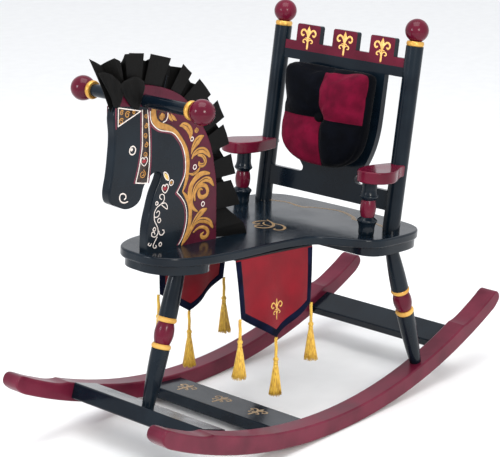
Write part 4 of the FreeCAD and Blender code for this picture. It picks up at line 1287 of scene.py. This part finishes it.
def stuffed(made):
    """Remeshes a cover and blows it up; the part that lies on the pads stays put."""
    remesh = made.modifiers.new("voxels", "REMESH")
    remesh.mode = "VOXEL"
    remesh.voxel_size = VOXEL
    changed_by(made)
    start = [v.co.copy() for v in made.data.vertices]
    held = made.vertex_groups.new(name="held")
    lies = [k for k, p in enumerate(start) if (p - back_foot).dot(BACK_OUT) < HELD_DEPTH]
    held.add(lies, 1.0, "REPLACE")
    cloth = made.modifiers.new("stuffing", "CLOTH")
    cloth.settings.use_pressure = True
    cloth.settings.uniform_pressure_force = 4.0
    cloth.settings.effector_weights.gravity = 0.0
    cloth.settings.vertex_group_mass = "held"
    for number in range(1, FRAMES + 1):
        bpy.context.scene.frame_set(number)
    depsgraph = bpy.context.evaluated_depsgraph_get()
    swollen = [v.co.copy() for v in made.evaluated_get(depsgraph).data.vertices]
    made.modifiers.clear()
    bpy.context.scene.frame_set(1)
    for v, before, after in zip(made.data.vertices, start, swollen):
        move = after - before
        v.co = before + move * min(1.0, SWELL_LIMIT / max(move.length, 1e-9))
    made.vertex_groups.clear()


cushion = piece("shield_cushion", cover_points, cover_faces, "cushion", CUSHION_VELVET)
stuffed(cushion)
finer = cushion.modifiers.new("finer", "SUBSURF")
finer.levels = finer.render_levels = 1
changed_by(cushion)
cushion.data.shade_smooth()
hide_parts("cushion")
print("cushion:", len(cushion.data.vertices), "points")

# %% Seams, puffs and the button's pull
BUTTON_AT = (-3.0, 172.0)
PULL, PULL_REACH = 15.0, 17.0


def eased(value):
    """0 below 0, 1 above 1 and smooth between."""
    value = min(1.0, max(0.0, value))
    return value * value * (3 - 2 * value)


def press(y, s):
    """How far the front face moves out at (y, s), in mm."""
    across, along = abs(y - seam_at(s)), abs(s - QUARTER_LEVEL)
    r = math.hypot(y - BUTTON_AT[0], s - BUTTON_AT[1])
    turn = math.atan2(s - BUTTON_AT[1], y - BUTTON_AT[0])
    groove = sum(5.0 * math.exp(-(d / 8) ** 2) + 1.8 * math.exp(-(d / 2.6) ** 2) for d in (across, along))
    puff = 4.5 * (1 - math.exp(-(across / 26) ** 2)) * (1 - math.exp(-(along / 26) ** 2))
    folds = 1.5 * math.cos(9 * turn + 0.8) * math.exp(-((r - 27) / 12) ** 2)
    tug = 0.8 * math.sin(y / 9.0) * math.exp(-((s - 250) / 9) ** 2)
    seam = groove * (1 - 0.5 * math.exp(-(r / 20) ** 2))
    return puff + folds + tug - seam - PULL * math.exp(-(r / PULL_REACH) ** 2)


for v in cushion.data.vertices:
    place = v.co - back_foot
    n, y, s = place.dot(BACK_OUT) / MM, place.y / MM, place.dot(BACK_UP) / MM
    rim = 1.2 * math.exp(-((n - FRONT_EDGE) / 2.5) ** 2)
    toward = Vector((0, y, 0)) + BACK_UP * (s - CUSHION_MIDDLE)
    v.co += BACK_OUT * press(y, s) * eased((n - FRONT_EDGE) / 14) * MM - toward.normalized() * rim * MM
cushion.data.update()

# %% The covered button
BUTTON_R = 10.5
BUTTON_DEEP = 45.0            # mm in front of the panel's middle, where the pull leaves the button's back
BUTTON_DOME = ((0.55, 0.0), (1.0, 0.3), (1.06, 2.2), (1.0, 3.8), (0.86, 5.2), (0.6, 6.4), (0.3, 7.0),
               (0.06, 7.1))
rings = []
for reach, height in BUTTON_DOME:
    ring_points = []
    for k in range(32):
        angle = math.tau * k / 32
        r = BUTTON_R * reach * (1 + 0.02 * math.cos(8 * angle) * (1.1 - reach))
        ring_points.append(back_place(BUTTON_DEEP + height, BUTTON_AT[0] + r * math.cos(angle),
                                      BUTTON_AT[1] + r * math.sin(angle)))
    rings.append(ring_points)
BUTTON_VELVET = velvet("black_button_velvet", ("#030406", "#0C0E14"))
button = painted("covered_button", *lofted(rings), "cushion", BUTTON_VELVET, "button_velvet")
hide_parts("cushion_button")
print("button in place")

# %% [markdown]
# ## The mane
#
# The mane is a stiff black ribbon, pleated and tacked by one edge round the crest of the neck, so that it
# stands up as a ruffle. It folds to the near side, runs flat, folds back under itself and runs flat on the
# far side, which leaves crisp corners and V-shaped gaps. A simulation would soften the folds, so the ribbon
# is laid by its fold lines: each has a place on its outer edge, and a foot on the outline of the neck.

# %% The ribbon's fold lines
MANE_CLOTH = finish(
    "black_pleated_ribbon", ("#030303", "#0A0908"), 30, (0.5, 0.68), [(18, 0.5), (plain_weave, 0.1)],
    {"IOR": 1.5, "Specular IOR Level": 0.14, "Sheen Weight": 0.02, "Sheen Roughness": 0.4})
NECK = [(372, 574), (364, 588), (345, 603), (312, 610), (283, 605), (246, 592), (217, 575), (193, 549),
        (173, 520), (158, 492), (149, 459), (144, 430), (143, 405), (143, 360), (143, 331)]
NEAR_PANELS = [((339, 660), (299, 656)), ((284, 653), (240, 640)), ((212, 627), (193, 610)),
               ((175, 598), (149, 569)), ((133, 557), (117, 527)), ((119, 515), (105, 481)),
               ((100, 463), (89, 428)), ((100, 419), (78, 374))]
NOTCHES = [(292, 643), (237, 627), (191, 594), (147, 557), (131, 517), (122, 472), (117, 423), (117, 381)]
RUFFLE = 12.0                 # mm that the flat runs stand out to each side
ASIDE = (13, 4)               # mm forward and up that a corner has on the near side


def ribbon_folds():
    """The outer ends of the fold lines, (x, z, y) in mm, from the forelock to the foot of the neck."""
    folds = [(401, 640, 3), (414, 664, 0), (386, 650, -5), (374, 661, RUFFLE), (362, 655, RUFFLE),
             (348, 646, -3)]
    for k, (first, last) in enumerate(NEAR_PANELS):
        middle = ((first[0] + last[0]) / 2, (first[1] + last[1]) / 2)
        folds.append((first[0] + ASIDE[0], first[1] + ASIDE[1], RUFFLE))
        folds.append((last[0] + ASIDE[0], last[1] + ASIDE[1], RUFFLE))
        folds.append((middle[0], middle[1], -RUFFLE))
        folds.append((*NOTCHES[k], -0.4 * RUFFLE))
        if k + 1 < len(NEAR_PANELS):
            after = NEAR_PANELS[k + 1]
            folds.append(((after[0][0] + after[1][0]) / 2, (after[0][1] + after[1][1]) / 2, -RUFFLE))
    return folds + [(83, 345, RUFFLE), (72, 322, RUFFLE), (128, 334, 0)]


def foot_of(x, z):
    """The place on the neck's outline nearest to (x, z)."""
    best = None
    for (ax, az), (bx, bz) in zip(NECK, NECK[1:]):
        run = Vector((bx - ax, bz - az))
        t = min(1.0, max(0.0, Vector((x - ax, z - az)).dot(run) / run.length_squared))
        foot = Vector((ax, az)) + run * t
        far = (Vector((x, z)) - foot).length
        if best is None or far < best[0]:
            best = (far, foot)
    return best[1]


FOLDS = ribbon_folds()
FEET = [foot_of(x, z) for x, z, y in FOLDS]
FEET[0] = Vector((373, 577))
FEET[1] = Vector((369, 583))
print("fold lines:", len(FOLDS))

# %% Ribbon
ROWS, COLUMNS = 9, 5
FOOT_HALF = 4.5


def ribbon(folds, feet, half=0.45):
    """A closed ribbon through the fold lines. Between folds it runs flat, with a slight belly."""
    lines = []
    for k in range(len(folds) - 1):
        last = k == len(folds) - 2
        for c in range(COLUMNS + last):
            t = c / COLUMNS
            ease = t + 0.06 * math.sin(2 * math.pi * t)
            outer = Vector(folds[k]).lerp(Vector(folds[k + 1]), ease)
            foot = feet[k].lerp(feet[k + 1], t)
            belly = 1.1 * math.sin(math.pi * t) * (1 if k % 2 else -1)
            foot_y = FOOT_HALF * max(-1.0, min(1.0, outer.z / RUFFLE))
            line = []
            for r in range(ROWS + 1):
                share = r / ROWS
                reach = share ** 0.85
                x, z = foot.x + (outer.x - foot.x) * share, foot.y + (outer.y - foot.y) * share
                y = foot_y + (outer.z - foot_y) * reach + belly * share
                line.append(Vector((x, y, z)))
            lines.append(line)
    width, count = ROWS + 1, len(lines)
    points = []
    for sign in (1, -1):
        for n, line in enumerate(lines):
            before, after = lines[max(n - 1, 0)], lines[min(n + 1, count - 1)]
            for r in range(width):
                along = after[r] - before[r]
                across = line[min(r + 1, ROWS)] - line[max(r - 1, 0)]
                out = along.cross(across)
                out = out.normalized() if out.length > 1e-6 else Vector((0, 1, 0))
                points.append((line[r] + out * half * sign) * MM)
    return points, layer_faces(count - 1, ROWS)


mane_points, mane_faces = ribbon(FOLDS, FEET)
mane = painted("mane_ribbon", mane_points, mane_faces, "frame", MANE_CLOTH, "mane_cloth", smooth=False)
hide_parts("mane")

# %% Forelock
LOCKS = {
    "front_lock": (
        [(404, 642, 7), (392, 642, 10), (380, 637, 12), (369, 628, 13), (360, 618, 13)],
        [(380, 602, 10.5), (375, 588, 10.6), (367, 584, 10.6), (361, 590, 11), (356, 604, 12)]),
    "cheek_lock": (
        [(366, 618, 13), (354, 624, 13.5), (342, 627, 13.5), (328, 626, 13), (312, 617, 12)],
        [(354, 600, 11.5), (342, 585, 11), (332, 578, 10.6), (321, 577, 10.5), (309, 606, 10.5)]),
}


def locked(top, hem):
    """A place on a flap of ribbon between its top line and its hem, both of (x, z, y) in mm."""
    tops = smooth_line([(x, z, y) for x, z, y in top], steps=5)
    hems = smooth_line([(x, z, y) for x, z, y in hem], steps=5)

    def place(t, s, out):
        """t runs down the flap and s along it."""
        at = s * (len(tops) - 1)
        k = min(int(at), len(tops) - 2)
        from_top, to_hem = tops[k].lerp(tops[k + 1], at - k), hems[k].lerp(hems[k + 1], at - k)
        x, z, y = from_top.lerp(to_hem, t)
        crease = 0.9 * math.cos(5 * math.pi * s) * math.sin(math.pi * min(1, 0.2 + t))
        return Vector((x, y + 0.8 * math.sin(math.pi * t) + crease + out, z)) * MM

    return place


for name, (top, hem) in LOCKS.items():
    lock = painted(name, *thin_grid(8, 20, locked(top, hem), 0.45), "frame", MANE_CLOTH, "mane_cloth")
    area = sum(face.area for face in lock.data.polygons) / 2
    print(name, "area, m2:", round(area, 5))

# %% [markdown]
# ## Floor and light
#
# A gloss black chair shows its surroundings more than its own colour, so the light is the picture: a pale
# floor, a bright even room, one broad soft box above and one at the side whose edges draw the highlights.

# %% Pale floor
REACH = 6.0
floor = bpy.data.objects.new("studio_floor", bpy.data.meshes.new("studio_floor"))
floor.data.from_pydata([(-REACH, -REACH, 0), (REACH, -REACH, 0), (REACH, REACH, 0), (-REACH, REACH, 0)], [],
                       [(0, 1, 2, 3)])
matt = finish("matt_studio_floor", ("#F4F4F3", "#F7F7F6"), 40, (0.8, 0.9), [(4, 0.02)], {})
floor.data.materials.append(matt)
bpy.context.scene.collection.objects.link(floor)
floor.location.z = -0.0005
floor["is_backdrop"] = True

# %% Room light and soft boxes
world = bpy.data.worlds.new("bright_room")
world.use_nodes = True
world.node_tree.nodes["Background"].inputs["Color"].default_value = linear("#F4F6FA")
world.node_tree.nodes["Background"].inputs["Strength"].default_value = 1.0
bpy.context.scene.world = world
target = (CAD_BOX[0] + CAD_BOX[1]) / 2
for name, place, size, watts, tint in (
        ("overhead_soft_box", (0.3, 0.2, 2.6), 1.8, 40, "#FFFFFF"),
        ("side_soft_box", (1.3, 2.4, 1.5), 0.7, 30, "#FFFAF2"),
        ("front_soft_box", (2.4, -0.6, 1.3), 0.5, 16, "#F4F8FF")):
    light = bpy.data.lights.new(name, "AREA")
    light.size = size
    light.energy = watts
    light.color = linear(tint)[:3]
    lamp = bpy.data.objects.new(name, light)
    lamp.location = place
    lamp.rotation_euler = (target - Vector(place)).to_track_quat("-Z", "Y").to_euler()
    bpy.context.scene.collection.objects.link(lamp)
bpy.context.scene.view_settings.view_transform = "Standard"

# %% [markdown]
# ## Check the size
#
# The looks must not grow the chair, so the box of what is shown now is held against the CAD box and the largest
# growth is printed.

# %% Sizes and the last check
SHOWN_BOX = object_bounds()
growth = [max(CAD_BOX[0][i] - SHOWN_BOX[0][i], SHOWN_BOX[1][i] - CAD_BOX[1][i]) for i in range(3)]
print("largest growth, mm:", round(max(growth) / MM, 1))
